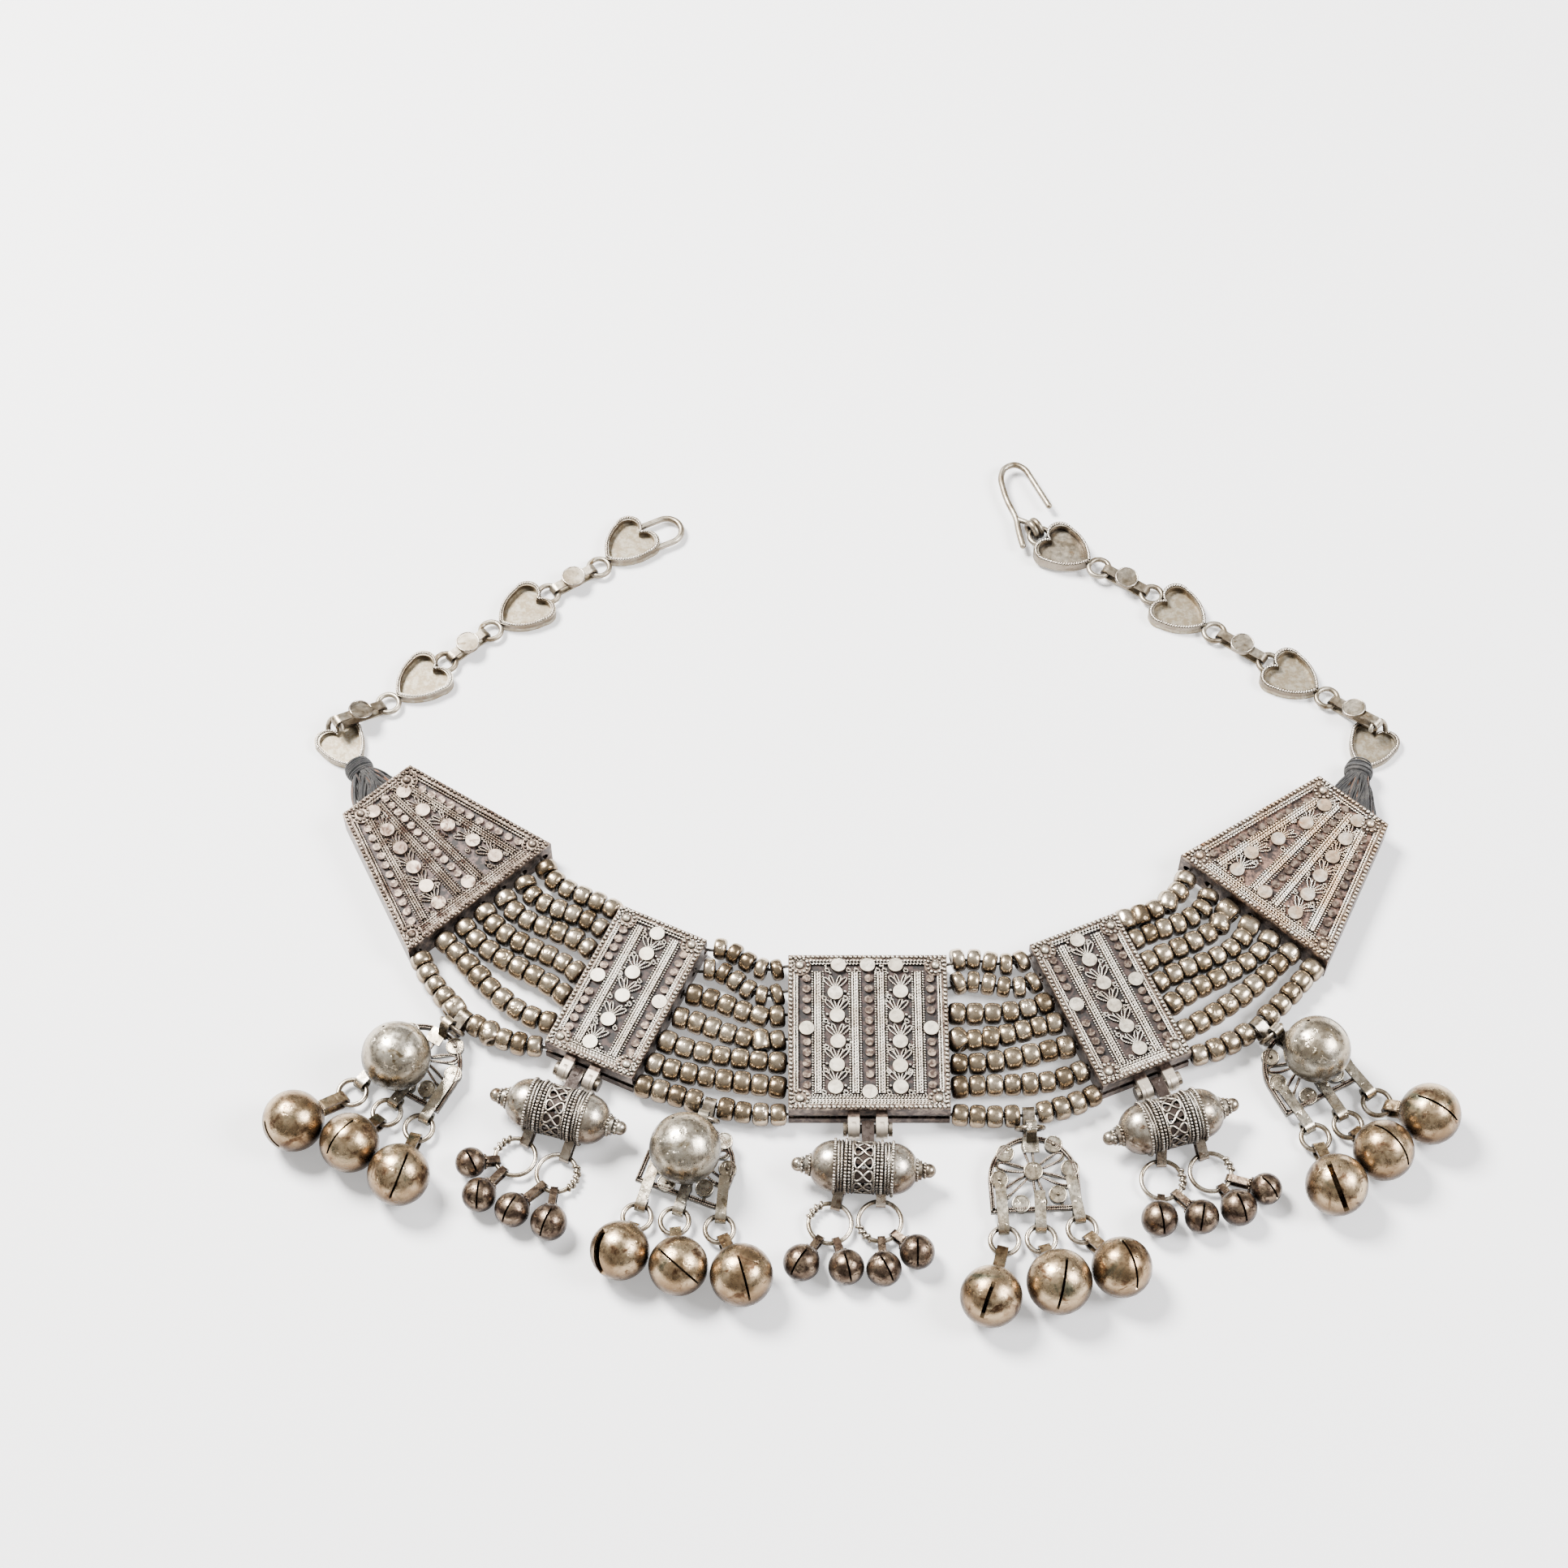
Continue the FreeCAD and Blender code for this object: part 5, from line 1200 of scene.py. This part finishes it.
def on_plate(place, x, y, lift):
    flat_y = y * math.cos(TILT) - lift * math.sin(TILT)
    return laid(place, x, flat_y, HUB_Z + y * math.sin(TILT) + lift * math.cos(TILT))


def arch(reach, bottom):
    """The plate's outline: a straight foot, straight sides and a half circle above them."""
    line = [(-reach, bottom), (reach, bottom), (reach, ARCH_SPRING)]
    for i in range(1, ARCH_STEPS):
        a = math.pi * i / ARCH_STEPS
        line.append((reach * math.cos(a), ARCH_SPRING + reach * math.sin(a)))
    line.append((-reach, ARCH_SPRING))
    return line


for number, place in enumerate(HUBS, 1):
    ropes = []
    for reach, bottom in FRAME_ROPES:
        ropes.append(([on_plate(place, x, y, 0.58) for x, y in arch(reach, bottom)], True))
    for bearing, reach in PETALS:
        leaf = teardrop(0, 0, bearing, reach + 0.75, 1.9)
        ropes.append(([on_plate(place, x, y, 0.46) for x, y in leaf], True))
    twisted("plate_ropes_%d" % number, ropes, "necklace", wire_dark, "pendant_silver",
            0.25, 0.8, 0.2)
    edges = []
    for x, y in [(0, 0)] + DISCS:
        radius, lift = HUB_EDGE if (x, y) == (0, 0) else DISC_EDGE
        ring = [on_plate(place, x + radius * math.cos(0.35 * i), y + radius * math.sin(0.35 * i),
                         lift) for i in range(18)]
        edges.append((ring, True))
    plain("plate_edges_%d" % number, edges, "necklace", plate_silver, "pendant_silver", 0.13, 0.4)
    bosses = [on_plate(place, x, y, 0.75) for x, y in DISCS[number % 2::2]]
    granules("plate_bosses_%d" % number, bosses, "necklace", loop_silver, "pendant_silver", 0.34)
print("pendants:", made)

# %% [markdown]
# The chains are small heart-shaped trays. Each wall is capped with twisted wire, a
# little thicker than the sheet. A heart is four arcs, each through three points, so a
# helper finds the circle through three points and walks round it.

# %% Heart rims
ARC_POINTS = 10
HEART_HALF_WIDTH = 4.9
HEART_HALF_HEIGHT = 5.75
RIM_INSET = 0.93
RIM_LIFT = 0.02


def arc_through(a, b, c):
    ax, ay = a
    bx, by = b
    cx, cy = c
    d = 2 * (ax * (by - cy) + bx * (cy - ay) + cx * (ay - by))
    a2, b2, c2 = ax * ax + ay * ay, bx * bx + by * by, cx * cx + cy * cy
    ux = (a2 * (by - cy) + b2 * (cy - ay) + c2 * (ay - by)) / d
    uy = (a2 * (cx - bx) + b2 * (ax - cx) + c2 * (bx - ax)) / d
    first = math.atan2(ay - uy, ax - ux)
    half = (math.atan2(by - uy, bx - ux) - first + math.pi) % (2 * math.pi) - math.pi
    whole = (math.atan2(cy - uy, cx - ux) - first) % (2 * math.pi)
    if half < 0:
        whole -= 2 * math.pi
    radius = math.hypot(ax - ux, ay - uy)
    return [(ux + radius * math.cos(first + whole * i / ARC_POINTS),
             uy + radius * math.sin(first + whole * i / ARC_POINTS)) for i in range(ARC_POINTS)]


def heart_line(scale, shrink):
    w = HEART_HALF_WIDTH * scale
    top = HEART_HALF_HEIGHT * scale
    tip, notch = (0, -top), (0, 0.62 * top)
    low, wide, high = (0.72 * w, -0.42 * top), (w, 0.26 * top), (0.72 * w, 0.88 * top)
    mirror = [(-x, y) for x, y in (low, wide, high)]
    line = arc_through(tip, low, wide) + arc_through(wide, high, notch)
    line += arc_through(notch, mirror[2], mirror[1]) + arc_through(mirror[1], mirror[0], tip)
    return [(x * shrink, y * shrink) for x, y in line]


# notch eye, tip eye, lift above the table, size, radius of the tip eye, wall height
HEARTS = {
    "left_1": ((-44.3, 71.2), (-49.4, 66.0), 0.0, 1.0, 2.0, 2.0),
    "left_2": ((-59.0, 59.7), (-69.7, 51.2), 0.0, 1.0, 2.0, 2.0),
    "left_3": ((-78.0, 43.9), (-88.3, 34.6), 0.0, 1.0, 2.0, 2.0),
    "left_4": ((-97.8, 28.2), (-92.9, 19.6), 0.0, 0.91, 1.25, 1.4),
    "right_1": ((36.4, 72.8), (47.6, 65.3), 0.8, 1.0, 2.0, 2.0),
    "right_2": ((57.5, 59.5), (69.0, 50.8), 0.0, 1.0, 2.0, 2.0),
    "right_3": ((78.9, 43.7), (89.3, 35.9), 0.0, 1.0, 2.0, 2.0),
    "right_4": ((98.0, 27.7), (93.6, 19.2), 0.0, 0.91, 1.25, 1.4),
}
rims = []
for notch, tip, lift, size, ring, height in HEARTS.values():
    heading = Vector((notch[0] - tip[0], notch[1] - tip[1], 0)).normalized()
    turn = math.degrees(math.atan2(heading.y, heading.x)) - 90
    middle = Vector((tip[0], tip[1], 0)) + heading * (ring + HEART_HALF_HEIGHT * size)
    place = (middle.x, middle.y, turn)
    rims.append(([laid(place, x, y, lift + height + RIM_LIFT)
                  for x, y in heart_line(size, RIM_INSET)], True))
twisted("heart_rims", rims, "necklace", wire_bright, "chain_silver", 0.32, 1.0, 0.2)
print("hearts:", made)

# %% [markdown]
# Between two hearts lies a link with a flat disc on it, edged with plain wire. The disc
# is found from the eyes at the link's ends. The last link of each chain climbs, because
# it goes over the rim of the small heart.

# %% Edges of the link discs
# the heart whose tip eye it starts in, the heart whose notch eye it ends in, its climb
LINKS = [("left_1", "left_2", False), ("left_2", "left_3", False), ("left_3", "left_4", True),
         ("right_1", "right_2", False), ("right_2", "right_3", False),
         ("right_3", "right_4", True)]
EYE_Z = 1.2
EYE_TO_LINK = 1.88
CLIMB = math.radians(55)
CLIMB_Z = 2.35
DISC_LIFT = 1.62
DISC_R = 2.12
rings = []
for first, second, climbs in LINKS:
    begin = Vector((*HEARTS[first][1], EYE_Z + HEARTS[first][2]))
    finish_eye = Vector((*HEARTS[second][0], EYE_Z))
    level = finish_eye - begin
    level.z = 0
    level.normalize()
    begin += level * EYE_TO_LINK
    if climbs:
        finish_eye -= level * (EYE_TO_LINK * math.cos(CLIMB))
        finish_eye.z = CLIMB_Z + EYE_TO_LINK * math.sin(CLIMB)
    else:
        finish_eye -= level * EYE_TO_LINK
    along = (finish_eye - begin).normalized()
    side = UP.cross(level)
    normal = along.cross(side)
    middle = (begin + finish_eye) / 2 + normal * DISC_LIFT
    rings.append((circle(middle, along, side, DISC_R, 28), True))
plain("link_disc_edges", rings, "necklace", wire_bright, "chain_silver", 0.14, 0.4)
print("link discs:", made)

# %% [markdown]
# The strings end in knots of black thread, wound round the last eyes and dragged wide
# where they meet the plaques. Hundreds of fine strands over a dark core say thread
# better than any texture. Their places come from a seeded generator, so each run of
# the script gives the same knot.

# %% Bound knots
KNOTS = {"left": ("end_left", 11), "right": ("end_right", 23)}
SPREAD = (-3.1, -1.6, 0.0, 1.6, 3.1)
STRANDS = 26
STRAND_STEPS = 8
WAXED_EVERY = 9
TURNS_ROUND = 9
TURN_STEP = 0.36
FOOT_R = 1.9
HEAD_R = 1.5
LOWEST_STRAND = 0.2
for side, (plaque, seed) in KNOTS.items():
    dice = random.Random(seed)
    place = PLACES[plaque]
    head = Vector((*HEARTS[side + "_4"][1], 2.3))
    foot_middle = Vector(laid(place, 0, HALF_LENGTH, 2.6))
    out = head - foot_middle
    out.z = 0
    out.normalize()
    across = UP.cross(out)
    strands = []
    waxed = []
    for i, offset in enumerate(SPREAD):
        foot = Vector(laid(place, offset, 15.45, 2.6))
        gather = head + across * (0.35 * offset)
        for k in range(STRANDS):
            angle = math.radians(dice.uniform(-35, 215))
            twist = dice.uniform(0.3, 0.9)
            lump = dice.uniform(0.0, 0.9)
            line = []
            for n in range(STRAND_STEPS + 1):
                t = n / STRAND_STEPS
                radius = FOOT_R * (1 - t) + HEAD_R * t + lump * math.sin(math.pi * t)
                a = angle + twist * t
                point = foot.lerp(gather, t) + across * (radius * math.cos(a))
                point += UP * (radius * math.sin(a))
                point.z = max(point.z, LOWEST_STRAND)
                line.append(point)
            (waxed if k % WAXED_EVERY == 4 else strands).append((line, False))
    for n in range(TURNS_ROUND):
        middle = head - out * (1.7 - TURN_STEP * n) + UP * 0.15
        radius = math.sqrt(max(0.2, 2.6 ** 2 - (TURN_STEP * n - 1.1) ** 2))
        lean = (UP + out * dice.uniform(-0.2, 0.2)).normalized()
        ring = circle(middle, across, lean, radius, 22)
        strands.append(([Vector((p.x, p.y, max(p.z, LOWEST_STRAND))) for p in ring], True))
    plain("knot_strands_" + side, strands, "necklace", black_thread, "black_thread", 0.14, 0.5)
    plain("knot_waxed_" + side, waxed, "necklace", waxed_thread, "black_thread", 0.17, 0.5)
print("knots:", made)

# %% [markdown]
# The table is plain matt white, and glows faintly, so that it stays white between the
# shadows. One broad soft lamp above and to the left gives the light, and a weaker one
# comes from the right. Metal shows what surrounds it: the room is a warm grey overhead
# and almost black at the horizon, which gives each ball its light crown and dark waist.

# %% Table, room and lamps
TABLE_SIZE = 6.0
TABLE_Z = -0.05
TABLE_GLOW = 0.42
bpy.ops.mesh.primitive_grid_add(x_subdivisions=8, y_subdivisions=8, size=TABLE_SIZE,
                                location=(0, 0, TABLE_Z * MM))
table = bpy.context.object
table.name = "table"
table_finish, board, white = new_finish("table_white")
board_tone = blend_colour(board, cloud(board, coordinates(board), 60.0, 2.0),
                          (0.90, 0.90, 0.91), (0.92, 0.92, 0.93))
board.links.new(board_tone, white.inputs["Base Color"])
white.inputs["Roughness"].default_value = 0.7
white.inputs["Specular IOR Level"].default_value = 0.2
white.inputs["Emission Color"].default_value = (1.0, 1.0, 1.0, 1.0)
white.inputs["Emission Strength"].default_value = TABLE_GLOW
table.data.materials.append(table_finish)

room = bpy.data.worlds.new("room")
room.use_nodes = True
bpy.context.scene.world = room
sky = room.node_tree
height = between(sky, one_axis(sky, coordinates(sky, "Generated"), "Z"), 0.0, 0.85)
sky.links.new(blend_colour(sky, height, (0.025, 0.023, 0.022), (0.46, 0.44, 0.41)),
              sky.nodes["Background"].inputs["Color"])
sky.nodes["Background"].inputs["Strength"].default_value = 0.9


def lamp(name, where, size, power, colour):
    """A soft round lamp that looks at the middle of the table."""
    light = bpy.data.lights.new(name, "AREA")
    light.shape = "DISK"
    light.size = size
    light.energy = power
    light.color = colour
    lamp_object = bpy.data.objects.new(name, light)
    bpy.context.scene.collection.objects.link(lamp_object)
    lamp_object.location = where
    turn = (-Vector(where)).to_track_quat("-Z", "Y")
    lamp_object.rotation_euler = turn.to_euler()


lamp("key", (-0.45, 0.35, 0.75), 0.34, 36.0, (1.0, 0.98, 0.95))
lamp("fill", (0.6, -0.1, 0.6), 0.4, 12.0, (0.98, 0.98, 1.0))
print("lamps set")

# %% [markdown]
# Last, the script prints how many pieces it grew and how many triangles they hold.

# %% Count and finish
print("made", made)
